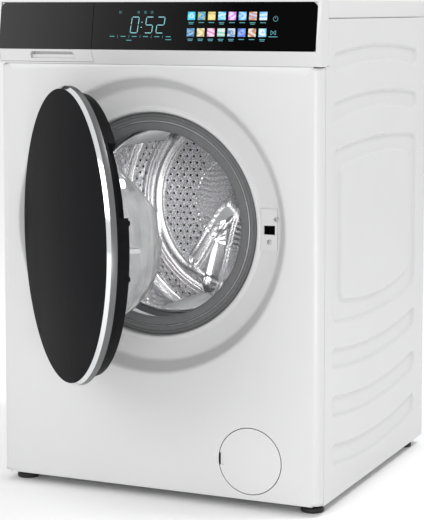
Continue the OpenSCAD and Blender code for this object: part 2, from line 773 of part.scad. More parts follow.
module door_chrome_ring() {
    color("silver") door_at_rest() door_axis() rotate_extrude()
        polygon([[door_glass_r, 0], [rim_r, bevel_d], [rim_r, rim_d], [rim_r - 3, rim_d],
            [rim_r - 3, door_glass_t + 3],
            [rim_r - 9, door_glass_t + 3], [rim_r - 9, door_glass_t + 0.2],
                [door_glass_r, door_glass_t + 0.2]]);
}

// Angles run clockwise from the free side as seen from the front, so minus is up
module sector(a0, a1, r0, r1, y0, y1) {
    rotate([0, 0, a0]) rotate_extrude(angle = a1 - a0) translate([r0, y0]) square([r1 - r0, y1 - y0]);
}

module door_inner_ring() {
    p = plate_t;
    y0 = rim_d + 0.2;
    color("black") door_at_rest() difference() {
        union() {
            door_axis() rotate_extrude() polygon([[pan_r, y0], [pan_back_r, door_d], [bowl_r + 1, door_d],
                [bowl_r + 1, door_d - p], [pan_back_r - p, door_d - p], [pan_r - p, y0]]);
            door_axis() sector(-48, -9, pan_back_r - 28, pan_back_r - 1, y0 + 2, door_d - 0.5);
            for (s = [-1, 1]) {
                translate([port_x + 219, pan_y - 0.5, port_z + 43 * s]) rotate([-90, 0, 0])
                    cylinder(r = 4, h = 4);
                difference() {
                    block([hook_x - 5, hook_x + 5], [hook_y - 5, pan_y - 0.5],
                        [port_z + 7.5 * s - 3, port_z + 7.5 * s + 3]);
                    bar_z(hook_x, hook_y, hook_pin_r + fit, port_z - 20, port_z + 20);
                }
            }
        }
        door_axis() sector(-44, -13, pan_back_r - 20, pan_r + 5, 24, door_d + cut);
        // window for the hook
        block([hook_x - 9, hook_x + 9], [pan_y - p - cut, pan_y + cut], [port_z - 4.3, port_z + 4.3]);
        // room for the hinge arms, and for the rim to pass behind the hinge axis
        block([hinge_x - 40, hinge_x + 33], [front_y + y0 - cut, pan_y + cut],
            [port_z - 62, port_z + 62]);
        difference() {
            block([hinge_x - 60, hinge_x], [front_y + y0 - cut, pan_y + cut],
                [port_z - 200, port_z + 200]);
            bar_z(hinge_x, hinge_y, swing_r, port_z - 210, port_z + 210);
        }
    }
}

// Half section of the bowl, drawn in by d, from its flange back to its flat end
function bowl_curve(d, n = 10) = [for (i = [0 : n])
    [48 - d + (bowl_r - 48) * cos(90 * i / n), 36 + (bowl_d - 36 - d) * sin(90 * i / n)]];

// Side view of the room left for the bowl under its slanted upper face
module bowl_trim(d) {
    top_z = bowl_r - 5 - d * 1.4;
    end_z = 20 - d * 1.4 - 0.1 * (bowl_r - 25);
    translate([port_x, front_y, port_z]) along_x(-bowl_r - 20, bowl_r + 20)
        polygon([[20, -200], [bowl_d + 10, -200], [bowl_d + 10, end_z], [42, top_z], [38, 200],
            [20, 200]]);
}

module door_bowl() {
    t = bowl_t;
    color([0.75, 0.85, 0.88, 0.5]) door_at_rest() {
        difference() {
            intersection() {
                door_axis() rotate_extrude() polygon(concat([[0, 33]],
                    [[bowl_r, 33]], bowl_curve(0), [[0, bowl_d]]));
                bowl_trim(0);
            }
            intersection() {
                door_axis() rotate_extrude() polygon(concat([[0, 30]],
                    [[bowl_r - t, 30]], bowl_curve(t), [[0, bowl_d - t]]));
                bowl_trim(t);
            }
        }
        door_axis() ring(bowl_r + 10, bowl_r - 0.5, 33, door_d - plate_t - 0.02);
    }
}

module door_knuckle() {
    r = hinge_pin_r + 1.4;
    color("silver") door_at_rest() difference() {
        union() {
            bar_z(hinge_x, hinge_y, r, port_z - knuckle_z, port_z + knuckle_z);
            block([hinge_x + 2, hinge_x + 44], [hinge_y + 2.2, hinge_y + 4.2],
                [port_z - 30, port_z + 30]);
            block([hinge_x + 36, hinge_x + 44], [hinge_y + 4, pan_y - plate_t - 0.02],
                [port_z - 30, port_z + 30]);
        }
        bar_z(hinge_x, hinge_y, hinge_pin_r + fit, port_z - knuckle_z - cut, port_z + knuckle_z + cut);
    }
}

module latch_hook() {
    color("gainsboro") door_at_rest() {
        bar_z(hook_x, hook_y, hook_pin_r, port_z - 10, port_z + 10);
        difference() {
            block([hook_x - 4.5, hook_x + 4.5], [hook_y - 3, pan_y + 21], [port_z - 3.5, port_z + 3.5]);
            block([hook_x - 5, hook_x - 1], [pan_y + 8, pan_y + 15], [port_z - 4, port_z + 4]);
        }
    }
}

// ---- Tub

module tub_front() {
    t = tub_t;
    y = tub_y0;
    color("gainsboro") difference() {
        port() rotate_extrude() polygon([[tub_mouth_r, y - 12], [tub_mouth_r + t, y - 12],
            [tub_mouth_r + t, y],
            [tub_r - 8, y], [tub_r, y + 8], [tub_r, tub_seam - 6], [tub_r + 6, tub_seam - 6],
                [tub_r + 6, tub_seam],
            [tub_r - t, tub_seam], [tub_r - t, y + 9], [tub_r - 9, y + t + 1], [tub_mouth_r, y + t + 1]]);
        at_front() bar_z(sump_x, sump_y, sump_r - 3, port_z - tub_r - 40, port_z - 200);
        at_front() bar_z(spout_x, spout_y, spout_r - 3, port_z + 100, port_z + tub_r + 20);
    }
    color("gainsboro") at_front() {
        difference() {
            bar_z(sump_x, sump_y, sump_r, port_z - tub_r - 26, port_z - sqrt(pow(tub_r - t / 2,
                2) - pow(sump_x - port_x, 2)) + 4);
            bar_z(sump_x, sump_y, sump_r - 3, port_z - tub_r - 40, port_z - 200);
            to_rear(port_x, port_z) disc(tub_r - t / 2, 0, body_d);
        }
        difference() {
            bar_z(spout_x, spout_y, spout_r, port_z + 150, spout_tub_z + 27);
            bar_z(spout_x, spout_y, spout_r - 3, port_z + 100, spout_tub_z + 30);
            to_rear(port_x, port_z) disc(tub_r - t / 2, 0, body_d);
        }
    }
}

module tub_rear() {
    t = tub_t;
    s = tub_seam + 0.2;
    color("gainsboro") {
        difference() {
            port() union() {
                rotate_extrude() polygon([[bearing_r + 0.02, wall_y], [tub_r - 10, wall_y],
                    [tub_r - t, wall_y - 8],
                    [tub_r - t, s], [tub_r + 6, s], [tub_r + 6, s + 6], [tub_r, s + 6],
                        [tub_r, tub_y1 - 10],
                    [tub_r - 10, tub_y1], [hub_r, tub_y1], [hub_r, hub_end],
                        [bearing_r + 0.02, hub_end]]);
                difference() {
                    for (a = [0 : 30 : 330]) rotate([0, 0, a + 15])
                        translate([hub_r - 3, -2.5, tub_y1 - 1])
                        cube([tub_r - hub_r - 9, 5, 14]);
                    disc(hub_r - 1, 0, body_d);
                }
            }
            for (h = [-1, 1]) at_front()
                to_rear(port_x + h * heater_half, port_z - heater_mid)
                    disc(heater_r + 0.2, wall_y - 10, tub_y1 + 20);
        }
        at_front() for (h = [-1, 1]) difference() {
            block([port_x + h * spring_x - 12, port_x + h * spring_x + 12], [spring_y - 6, spring_y + 6],
                [port_z + 90, spring_z0 - 0.3]);
            to_rear(port_x, port_z) disc(tub_r - 1, 0, body_d);
            to_rear(port_x + h * spring_x, spring_z0 - 12) disc(3.5, spring_y - 10, spring_y + 10);
        }
    }
}

module front_weight() {
    color("darkgray") port() difference() {
        ring(250, 202, 55, tub_y0 - 0.3);
        for (s = [-1, 1]) translate([s * 230 - 60, -46, 50]) cube([120, 92, 40]);
    }
}

module top_weight() {
    color("darkgray") at_front() difference() {
        block([max(port_x - 75, house_x1 + 8), port_x + 190], [tub_y0 + 50, tub_seam - 8],
            [port_z + 130, port_z + tub_r + 50]);
        to_rear(port_x, port_z) disc(tub_r + 0.3, 0, body_d);
    }
}

module heater() {
    color("slategray") at_front() {
        for (h = [-1, 1]) to_rear(port_x + h * heater_half, port_z - heater_mid) {
            disc(heater_r, drum_y0 + 30, tub_y1 + 2);
            disc(heater_r - 1.5, tub_y1 + 1, tub_y1 + 24);
        }
        translate([port_x, drum_y0 + 30, port_z - heater_mid]) rotate([0, 0, 180])
            rotate_extrude(angle = 180) translate([heater_half, 0]) circle(r = heater_r, $fn = 32);
        difference() {
            block([port_x - heater_half - 12, port_x + heater_half + 12], [tub_y1 + 0.3, tub_y1 + 5],
                [port_z - heater_mid - 7, port_z - heater_mid + 7]);
            for (a = [75, 105]) to_rear(port_x, port_z) rotate([0, 0, a])
                translate([hub_r, -3, tub_y1 - 1]) cube([tub_r - hub_r, 6, 16]);
        }
    }
}

module drum_bearings() {
    color("silver") port() for (y = [wall_y + 8, wall_y + 28]) ring(bearing_r, shaft_r + fit, y, y + 15);
}

module shaft_seal() { color("black") port() ring(bearing_r, shaft_r + fit, wall_y + 0.3, wall_y + 7.5); }

module motor_housing() {
    color("dimgray") at_front() {
        difference() {
            to_rear(motor_x, motor_z) disc(motor_r, motor_y0, motor_y1);
            to_rear(motor_x, motor_z) disc(motor_r - 16, motor_y0 + 10, motor_y1 - 10);
            to_rear(motor_x, motor_z) disc(motor_shaft_r + fit, motor_y0 + 4, motor_y1 + cut);
        }
        difference() {
            for (y = [motor_y0 + 12, motor_y1 - 32])
                block([motor_x - 46, motor_x - 6], [y, y + 14], [motor_z + 20, port_z - tub_r + 26]);
            to_rear(port_x, port_z) disc(tub_r + 0.1, 0, body_d);
            to_rear(motor_x, motor_z) disc(motor_r - 1, motor_y0 - cut, motor_y1 + cut);
        }
    }
}

module motor_rotor() {
    color("silver") at_front() to_rear(motor_x, motor_z) {
        disc(motor_shaft_r, motor_y0 + 5, pulley_y + pulley_w + 2);
        disc(motor_r - 18, motor_y0 + 22, motor_y1 - 22);
        disc(motor_pulley_r, pulley_y, pulley_y + pulley_w);
    }
}

module drum_pulley() {
    r = pulley_r;
    color("silver") port() difference() {
        disc(r, pulley_y, pulley_y + pulley_w);
        for (a = [0 : 60 : 300]) rotate([0, 0, a])
            sector(6, 54, 34, r - 12, pulley_y - cut, pulley_y + pulley_w + cut);
        disc(shaft_r + fit, pulley_y - cut, pulley_y + pulley_w + cut);
    }
}

module belt_loop(d) {
    hull() {
        translate([port_x, port_z]) circle(r = pulley_r + d, $fn = 180);
        translate([motor_x, motor_z]) circle(r = motor_pulley_r + d, $fn = 48);
    }
}

module drive_belt() {
    color("black") at_front() translate([0, pulley_y + pulley_w - 2, 0]) rotate([90, 0, 0])
        linear_extrude(pulley_w - 4) difference() {
            belt_loop(belt_gap + belt_t);
            belt_loop(belt_gap);
        }
}

module drum_shell() {
    t = drum_t;
    r = drum_r;
    m = drum_mouth_r;
    color("silver") port() rotate_extrude() polygon([[m, drum_y0 - 4], [m + 4, drum_y0 - 6],
        [m + 6, drum_y0],
        [r - 6, drum_y0], [r, drum_y0 + 6], [r, drum_y1], [r - t, drum_y1], [r - t, drum_y0 + 7],
            [r - 7, drum_y0 + t],
        [m + 6, drum_y0 + t], [m + 1, drum_y0 + 4]]);
}

module drum_rear() {
    r = drum_r - drum_t - 0.15;
    color("silver") port() rotate_extrude() polygon([[0, drum_y1 - 2.5], [40, drum_y1 - 2.5],
        [60, drum_y1 - 14],
        [r - 30, drum_y1 - 14], [r - 8, drum_y1 - 6], [r, drum_y1 - 6], [r, drum_y1 - 4.8],
            [r - 8, drum_y1 - 4.8],
        [r - 30, drum_y1 - 12.8], [60, drum_y1 - 12.8], [40, drum_y1 - 1.3], [0, drum_y1 - 1.3]]);
}

module lifters() {
    r = drum_r - drum_t - 0.1;
    y1 = drum_y1 - 22;
    color("silver") port() for (a = [90, 210, 330]) rotate([0, 0, a + lifter_turn]) intersection() {
        disc(r, drum_y0 + 12, y1);
        translate([0, 0, drum_y0 + 12]) linear_extrude(y1 - drum_y0 - 12)
            polygon(concat([[r + 5, 36]], arc([r - lifter_h + 14, 0], 14, 120, 240), [[r + 5, -36]]));
    }
}

module drum_spider() {
    y0 = drum_y1 + 0.5;
    color("darkgray") port() difference() {
        union() {
            disc(28, y0, wall_y - 2);
            for (a = [30, 150, 270]) rotate([0, 0, a]) translate([0, 0, y0]) linear_extrude(13)
                polygon([[20, 16], [drum_r - 12, 9], [drum_r - 12, -9], [20, -16]]);
        }
        disc(shaft_r + fit, y0 - cut, wall_y);
    }
}

module drum_shaft() {
    color("silver") port() {
        disc(shaft_r, drum_y1 + 0.5, pulley_y + pulley_w);
        disc(shaft_r + 6, pulley_y + pulley_w + 0.2, pulley_y + pulley_w + 8);
        disc(shaft_r - 4, pulley_y + pulley_w - 1, pulley_y + pulley_w + 1);
    }
}

// ---- Suspension

module damper_cylinders() {
    color("dimgray") at_front() for (s = [-1, 1]) difference() {
        union() {
            bar_z(port_x + s * damper_x, damper_y, rod_r + damper_wall, damper_z0 + 0.1, damper_z1);
            block([port_x + s * damper_x - 20, port_x + s * damper_x + 20],
                [damper_y - 12, damper_y + 12],
                [damper_z0 + 0.1, damper_z0 + 5]);
        }
        bar_z(port_x + s * damper_x, damper_y, rod_r + fit, damper_z0 + 8, damper_z1 + cut);
    }
}

module damper_rods() {
    color("silver") at_front() for (s = [-1, 1]) {
        bar_z(port_x + s * damper_x, damper_y, rod_r, damper_z0 + 34, port_z - tub_r + 24);
        difference() {
            block([port_x + s * damper_x - 15, port_x + s * damper_x + 15],
                [damper_y - 14, damper_y + 14],
                [port_z - tub_r + 20, port_z - tub_r + 100]);
            to_rear(port_x, port_z) disc(tub_r + 0.1, 0, body_d);
        }
    }
}

module suspension_springs() {
    n = 14;
    pitch = (spring_z1 - spring_z0 - 4) / n;
    color("silver") at_front() for (s = [-1, 1])
        translate([port_x + s * spring_x, spring_y, spring_z0 + 2])
        rotate_extrude() polygon(pleats(spring_r - 5, 1.6, 3, 0, n * pitch, n));
}

// ---- Drain filter, pump and rear fittings

module filter_cover() {
    color("white") at_front() {
        difference() {
            to_rear(filter_x, filter_z) disc(cover_r, 0, cover_t);
            block([filter_x - cover_r - cut, filter_x - cover_r + 9], [-cut, cover_t + cut],
                [filter_z - 10.5, filter_z + 10.5]);
        }
        block([filter_x - cover_r + 2, filter_x - cover_r + 11], [cover_t - 0.4, cover_t + 6],
            [filter_z - 13, filter_z + 13]);
        bar_z(cover_pin_x, cover_pin_y, cover_pin_r, filter_z - ear_z0 - ear_t,
            filter_z + ear_z0 + ear_t);
        bar_z(cover_pin_x, cover_pin_y, 2.9, filter_z - cover_arm, filter_z + cover_arm);
        // curved arm, so that the edge of the panel passes inside it as the cover swings out
        translate([cover_pin_x, cover_pin_y, filter_z - cover_arm]) linear_extrude(2 * cover_arm)
            polygon(concat(arc([0, 0], 16, 90, 196, 12), arc([0, 0], 13.2, 198, 99, 12), [[-2, 2],
                [0, 2]]));
    }
}

module filter_cap() {
    y = chamber_y0;
    color("dimgray") at_front() to_rear(filter_x, pump_z) difference() {
        union() {
            disc(chamber_r + 3, y - 5, y - 0.3);
            disc(chamber_r - fit, y - 1, y + 12);
            translate([-chamber_r * 0.75, -4, y - 14]) cube([chamber_r * 1.5, 8, 10]);
            disc(chamber_r - 5, y + 11, y + 62);
        }
        disc(chamber_r - 8, y + 16, y + 62 + cut);
        for (a = [0 : 30 : 150]) rotate([0, 0, a]) translate([-chamber_r, -3.5, y + 20])
            cube([2 * chamber_r, 7, 34]);
    }
}

module drain_pump() {
    r = chamber_r + 5;
    color("gainsboro") at_front() {
        difference() {
            union() {
                to_rear(filter_x, pump_z) {
                    disc(r, chamber_y0, chamber_y1);
                    disc(impeller_r + 8, chamber_y1 - cut, volute_y1 + 46);
                }
                bar_x(sump_y, pump_z, sump_r, filter_x - r - 24, filter_x - chamber_r + 2);
                for (x = [filter_x - 26, filter_x + 16])
                    block([x, x + 10], [chamber_y0 + 20, chamber_y1 - 10], [tray_top + 0.1, pump_z - 10]);
            }
            to_rear(filter_x, pump_z) {
                disc(chamber_r, chamber_y0 - cut, chamber_y1 - 6);
                disc(10, chamber_y1 - 7, chamber_y1 + 1);
                disc(impeller_r + 2, chamber_y1, volute_y1);
                disc(3 + fit, volute_y1 - cut, volute_y1 + 26);
            }
            bar_x(sump_y, pump_z, sump_r - 3, filter_x - r - 24 - cut, filter_x - chamber_r + 6);
        }
    }
}

module pump_impeller() {
    color("white") at_front() to_rear(filter_x, pump_z) {
        disc(3, chamber_y1 + 4, volute_y1 + 25);
        disc(8, chamber_y1 + 3, volute_y1 - 3);
        for (a = [0, 90]) rotate([0, 0, a]) translate([-impeller_r, -1.25, chamber_y1 + 3])
            cube([2 * impeller_r, 2.5, volute_y1 - chamber_y1 - 6]);
    }
}

module sump_hose() {
    bend = 30;
    z_top = port_z - tub_r - 8;
    x_end = filter_x - chamber_r - 8;
    r = sump_r + 0.1;
    wall = 2.9;
    color("dimgray") at_front() {
        difference() {
            bar_z(sump_x, sump_y, r + wall, pump_z + bend, z_top);
            bar_z(sump_x, sump_y, r, pump_z + bend - cut, z_top + cut);
        }
        translate([sump_x + bend, sump_y, pump_z + bend]) rotate([90, 0, 0]) rotate([0, 0, 180])
            rotate_extrude(angle = 90) translate([bend, 0]) difference() {
                circle(r = r + wall);
                circle(r = r);
            }
        difference() {
            bar_x(sump_y, pump_z, r + wall, sump_x + bend, x_end);
            bar_x(sump_y, pump_z, r, sump_x + bend - cut, x_end + cut);
        }
    }
}

module drain_outlet() {
    color("gainsboro") at_front() to_rear(outlet_x, outlet_z) difference() {
        union() {
            disc(outlet_r, back_y - 24, body_d + 15);
            disc(outlet_r + 8, back_y - 4, back_y - 0.2);
        }
        disc(outlet_r - 2.5, back_y - 24 - cut, body_d + 15 + cut);
    }
}

module mains_gland() {
    color("black") at_front() to_rear(gland_x, gland_z) difference() {
        union() {
            disc(gland_r, back_y - 10, body_d + 1);
            disc(gland_r + 3, body_d + 0.2, body_d + 6);
            disc(gland_r + 3, back_y - 6, back_y - 0.2);
        }
        disc(4, back_y - 10 - cut, body_d + 6 + cut);
    }
}

front_panel();
side_panel_left();
side_panel_right();
rear_panel();
rear_cover();
top_panel();
base_tray();
console_fascia();
control_glass();
display_board();
dispenser_housing();
inlet_valve();
fill_hose();
dispenser_hose();
door_lock();
lock_cover();
hinge_bracket();
gasket();
gasket_clamp();
drain_pump();
sump_hose();
drain_outlet();
mains_gland();
fasteners();
damper_cylinders();
suspension_springs();
tub_front();
tub_rear();
front_weight();
top_weight();
heater();
drum_bearings();
shaft_seal();
motor_housing();
drive_belt();
damper_rods();
drum_shell();
drum_rear();
lifters();
drum_spider();
drum_shaft();
drum_pulley();
motor_rotor();
door_glass();
door_chrome_ring();
door_inner_ring();
door_bowl();
door_knuckle();
latch_hook();
drawer_front();
drawer_glass();
drawer_tray();
drawer_flap();
filter_cover();
filter_cap();
pump_impeller();
foot_front_left();
foot_front_right();
foot_rear_left();
foot_rear_right();
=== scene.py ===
import json
import math

import bmesh
import bpy
import numpy as np
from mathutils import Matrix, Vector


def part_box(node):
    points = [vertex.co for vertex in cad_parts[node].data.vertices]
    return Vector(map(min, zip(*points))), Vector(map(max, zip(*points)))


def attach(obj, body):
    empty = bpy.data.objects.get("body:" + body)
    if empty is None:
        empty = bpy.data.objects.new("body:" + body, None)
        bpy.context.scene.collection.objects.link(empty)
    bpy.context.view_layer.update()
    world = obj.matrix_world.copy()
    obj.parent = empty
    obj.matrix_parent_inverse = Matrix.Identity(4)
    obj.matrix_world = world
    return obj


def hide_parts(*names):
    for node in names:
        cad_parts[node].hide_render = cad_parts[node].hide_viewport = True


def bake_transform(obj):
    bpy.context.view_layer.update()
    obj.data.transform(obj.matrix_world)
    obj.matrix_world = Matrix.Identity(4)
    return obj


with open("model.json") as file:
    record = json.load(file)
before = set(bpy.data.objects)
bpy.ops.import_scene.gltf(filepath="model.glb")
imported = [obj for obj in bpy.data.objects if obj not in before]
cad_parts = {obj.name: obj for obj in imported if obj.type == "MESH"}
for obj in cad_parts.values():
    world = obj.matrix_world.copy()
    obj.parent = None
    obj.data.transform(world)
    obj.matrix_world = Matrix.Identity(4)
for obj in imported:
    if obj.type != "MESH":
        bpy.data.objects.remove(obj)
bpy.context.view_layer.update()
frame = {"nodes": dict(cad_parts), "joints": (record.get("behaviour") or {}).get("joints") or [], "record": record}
mm = 0.001
nodes = frame["nodes"]


# Places come from the frame, in millimetres.
def boxOf(node):
    low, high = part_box(node)
    return np.array(low) / mm, np.array(high) / mm


cabinetLow, cabinetHigh = boxOf("front_panel")
frontY = cabinetLow[1]  # plane of the front
halfWidth = cabinetHigh[0]
gasketLow, gasketHigh = boxOf("gasket")
portX = (gasketLow[0] + gasketHigh[0]) / 2  # axis of the porthole and the drum
portZ = (gasketLow[2] + gasketHigh[2]) / 2
doorJoint = next(joint for joint in frame["joints"] if joint["name"] == "door_hinge")
hinge = np.array(doorJoint["pos_m"]) / mm
doorOpen = math.radians(-doorJoint["range_deg"][0])  # how far the door stands open at rest
doorFront = frontY - 18  # front of the closed door


# Shader maths: sums on a Wire become Math nodes, or Vector Math nodes on a vector.
class Wire:
    def __init__(self, finish, socket):
        self.finish = finish
        self.socket = socket

    def __add__(self, other):
        return self.finish.maths("ADD", self, other)

    def __radd__(self, other):
        return self.finish.maths("ADD", other, self)

    def __sub__(self, other):
        return self.finish.maths("SUBTRACT", self, other)

    def __rsub__(self, other):
        return self.finish.maths("SUBTRACT", other, self)

    def __mul__(self, other):
        return self.finish.maths("MULTIPLY", self, other)

    def __rmul__(self, other):
        return self.finish.maths("MULTIPLY", other, self)

    def __truediv__(self, other):
        return self.finish.maths("DIVIDE", self, other)

    def __rtruediv__(self, other):
        return self.finish.maths("DIVIDE", other, self)


shaderSockets = {
    "colour": "Base Color", "roughness": "Roughness", "metallic": "Metallic", "normal": "Normal",
    "specular": "Specular IOR Level", "coat": "Coat Weight", "coatRoughness": "Coat Roughness", "ior": "IOR",
    "transmission": "Transmission Weight", "glow": "Emission Color", "glowStrength": "Emission Strength",
}
mixSockets = {"amount": 0, "first": 6, "second": 7, "out": 2}  # of a Mix node that mixes colours
unstretched = (1, 1, 1)


class Finish:
    def __init__(self, name, **plain):
        self.material = bpy.data.materials.new(name)
        self.material.use_nodes = True
        self.tree = self.material.node_tree
        self.tree.nodes.clear()
        self.shader = self.tree.nodes.new("ShaderNodeBsdfPrincipled")
        out = self.tree.nodes.new("ShaderNodeOutputMaterial")
        self.tree.links.new(self.shader.outputs["BSDF"], out.inputs["Surface"])
        for key, value in plain.items():
            self.feed(key, value)

    # one setting of the shader, plain or wired
    def feed(self, key, value):
        socket = self.shader.inputs[shaderSockets[key]]
        if isinstance(value, Wire):
            self.tree.links.new(value.socket, socket)
        elif socket.type == "RGBA":
            socket.default_value = (*value, 1)
        else:
            socket.default_value = value

    # any node: its type, its settings, then the values or wires of its sockets
    def node(self, kind, settings, values, out=0):
        made = self.tree.nodes.new(kind)
        for key, value in settings.items():
            if key == "stops":
                for index, (place, grey) in enumerate(value):
                    if index > 1:  # a new ramp has two stops
                        made.color_ramp.elements.new(place)
                    made.color_ramp.elements[index].position = place
                    made.color_ramp.elements[index].color = (grey, grey, grey, 1)
            else:
                setattr(made, key, value)
        for key, value in values.items():
            if isinstance(value, Wire):
                self.tree.links.new(value.socket, made.inputs[key])
            else:
                made.inputs[key].default_value = value
        return Wire(self, made.outputs[out])

    def maths(self, operation, first, second):
        kinds = [wire.socket.type for wire in (first, second) if isinstance(wire, Wire)]
        kind = "ShaderNodeVectorMath" if "VECTOR" in kinds else "ShaderNodeMath"
        return self.node(kind, {"operation": operation}, {0: first, 1: second})

    def place(self, stretch=unstretched):
        where = self.node("ShaderNodeTexCoord", {}, {}, "Object")
        if stretch == unstretched:
            return where
        return self.node("ShaderNodeMapping", {}, {"Vector": where, "Scale": stretch})

    # soft noise with features about size millimetres across
    def noise(self, size, detail=2.0, stretch=unstretched):
        where = self.place(stretch)
        values = {"Vector": where, "Scale": 1 / (size * mm), "Detail": detail, "Roughness": 0.55}
        return self.node("ShaderNodeTexNoise", {}, values)

    # each stop is (place, grey)
    def ramp(self, wire, *stops):
        return self.node("ShaderNodeValToRGB", {"stops": stops}, {"Fac": wire})

    def blend(self, first, second, amount):
        first, second = (c if isinstance(c, Wire) else (*c, 1) for c in (first, second))
        values = {mixSockets["amount"]: amount, mixSockets["first"]: first, mixSockets["second"]: second}
        return self.node("ShaderNodeMix", {"data_type": "RGBA"}, values, mixSockets["out"])

    def tone(self, first, second, amount):
        self.feed("colour", self.blend(first, second, amount))

    # a Bump node that is depth millimetres deep
    def relief(self, height, depth, strength):
        values = {"Height": height, "Distance": depth * mm, "Strength": strength}
        self.feed("normal", self.node("ShaderNodeBump", {}, values))


def whiteEnamel():
    finish = Finish("white_enamel", coat=0.35, coatRoughness=0.12, specular=0.5)
    cloud = finish.noise(160, 3)
    finish.tone((0.555, 0.555, 0.558), (0.58, 0.58, 0.582), cloud)
    finish.feed("roughness", 0.34 + 0.08 * finish.noise(60))
    finish.relief(finish.noise(2.2, 1.0), 0.012, 0.5)
    return finish.material


def whiteMoulding():
    finish = Finish("white_moulding", coat=0.2, coatRoughness=0.2)
    finish.tone((0.57, 0.57, 0.57), (0.59, 0.59, 0.59), finish.noise(90, 3))
    finish.feed("roughness", 0.36 + 0.08 * finish.noise(40))
    finish.relief(finish.noise(0.9, 2.0), 0.01, 0.5)
    return finish.material


def worktopLaminate():
    finish = Finish("worktop_laminate")
    finish.tone((0.575, 0.575, 0.575), (0.60, 0.60, 0.60), finish.noise(120, 4))
    finish.feed("roughness", 0.42 + 0.12 * finish.noise(3, 3))
    finish.relief(finish.noise(1.1, 4.0), 0.06, 0.6)
    return finish.material


def galvanised():
    finish = Finish("galvanised_sheet", metallic=0.9)
    crystals = finish.node("ShaderNodeTexVoronoi", {}, {"Vector": finish.place(), "Scale": 150.0}, "Color")
    grey = finish.node("ShaderNodeRGBToBW", {}, {"Color": crystals})
    finish.tone((0.42, 0.43, 0.44), (0.56, 0.57, 0.58), grey)
    finish.feed("roughness", 0.34 + 0.2 * grey)
    return finish.material


def doorGlass():
    finish = Finish("dark_door_glass", specular=0.003)
    finish.tone((0.005, 0.005, 0.006), (0.009, 0.009, 0.010), finish.noise(200, 2))
    finish.feed("roughness", 0.12 + 0.05 * finish.noise(35, 3))
    return finish.material


# glass of the console: smoky at its left end, black at its right
def consoleGlass():
    finish = Finish("dark_console_glass", specular=0.003)
    across = finish.node("ShaderNodeSeparateXYZ", {}, {"Vector": finish.place()}, "X")
    shade = finish.ramp(across / (2 * halfWidth * mm) + 0.5, (0.0, 0.050), (0.36, 0.020), (0.75, 0.002))
    finish.tone((0.0, 0.0, 0.0), (1.0, 1.0, 1.02), shade)
    finish.feed("roughness", 0.14 + 0.05 * finish.noise(35, 3))
    return finish.material


def clearGlass():
    finish = Finish("clear_glass", transmission=0.8, ior=1.45, coat=1.0, coatRoughness=0.03)
    # painted reflection: the colour grows lighter along stretched wisps that stand in for the bowl's wispy
    # reflections; the roughness follows the same wisps
    reflectionWisps = finish.ramp(finish.noise(70, 4, (1.6, 1.6, 0.7)), (0.34, 0.0), (0.62, 1.0))
    finish.tone((0.72, 0.73, 0.74), (1.0, 1.0, 1.0), reflectionWisps)
    finish.feed("roughness", 0.04 + 0.12 * reflectionWisps)
    finish.relief(finish.noise(34, 2.0), 2.0, 0.5)
    return finish.material


def chromePlate():
    finish = Finish("chrome_plate", metallic=1.0, colour=(0.78, 0.79, 0.80))
    finish.feed("roughness", 0.05 + 0.07 * finish.noise(18, 3))
    return finish.material


# side of the door's ring: brushed, with painted shade: its colour is darker than its polished bevel, though both
# are chrome
def shadedSatinPlate():
    finish = Finish("satin_plate_painted_shade", metallic=1.0)
    # painted shade: this dark colour stands in for the shade on the side of the ring
    finish.tone((0.09, 0.09, 0.093), (0.22, 0.22, 0.225), finish.noise(160, 2))
    finish.feed("roughness", 0.28 + 0.1 * finish.noise(12, 3))
    return finish.material


def blackMoulding():
    finish = Finish("black_moulding", specular=0.03)
    finish.tone((0.004, 0.004, 0.0045), (0.009, 0.009, 0.010), finish.noise(30, 3))
    finish.feed("roughness", 0.38 + 0.14 * finish.noise(8, 3))
    finish.relief(finish.noise(0.8, 2.0), 0.03, 0.5)
    return finish.material


def rubber(name, dark, light):
    finish = Finish(name, specular=0.35)
    finish.tone(dark, light, finish.noise(14, 4))
    finish.feed("roughness", 0.5 + 0.2 * finish.noise(5, 3))
    finish.relief(finish.noise(0.7, 3.0), 0.05, 0.5)
    return finish.material


# polished metal with fine lines; stretch makes the lines run one way
def brushed(name, dark, light, rough, stretch=(1, 1, 1), depth=0.01):
    finish = Finish(name, metallic=1.0)
    lines = finish.noise(2.5, 3.0, stretch)
    finish.tone(dark, light, lines)
    finish.feed("roughness", rough + 0.16 * lines)
    finish.relief(lines, depth, 0.5)
    return finish.material


def castAlloy():
    finish = Finish("cast_alloy", metallic=0.95)
    finish.tone((0.42, 0.43, 0.44), (0.62, 0.63, 0.64), finish.noise(3, 4))
    finish.feed("roughness", 0.45 + 0.2 * finish.noise(2, 3))
    finish.relief(finish.noise(1.4, 4.0), 0.12, 0.6)
    return finish.material


def castConcrete():
    finish = Finish("cast_concrete", specular=0.2)
    pores = finish.ramp(finish.noise(4, 2.0), (0.30, 0.0), (0.38, 1.0))
    mottled = finish.blend((0.30, 0.29, 0.27), (0.50, 0.48, 0.45), finish.noise(22, 5))
    finish.tone((0.16, 0.15, 0.14), mottled, pores)
    finish.feed("roughness", 0.8 + 0.15 * finish.noise(3, 3))
    finish.relief(finish.noise(3, 5.0) * pores, 0.5, 0.8)
    return finish.material


def moulding(name, dark, light, rough=0.45):
    finish = Finish(name)
    finish.tone(dark, light, finish.noise(25, 4))
    finish.feed("roughness", rough + 0.15 * finish.noise(6, 3))
    finish.relief(finish.noise(1.0, 3.0), 0.04, 0.5)
    return finish.material


def circuitBoard():
    finish = Finish("circuit_board")
    grid = {"Vector": finish.place(), "Scale": 90.0, "Mortar Size": 0.03}
    tracks = finish.node("ShaderNodeTexBrick", {}, grid, "Fac")
    finish.tone((0.02, 0.12, 0.05), (0.10, 0.35, 0.16), tracks)
    finish.feed("roughness", 0.3 + 0.2 * finish.noise(6, 2))
    return finish.material


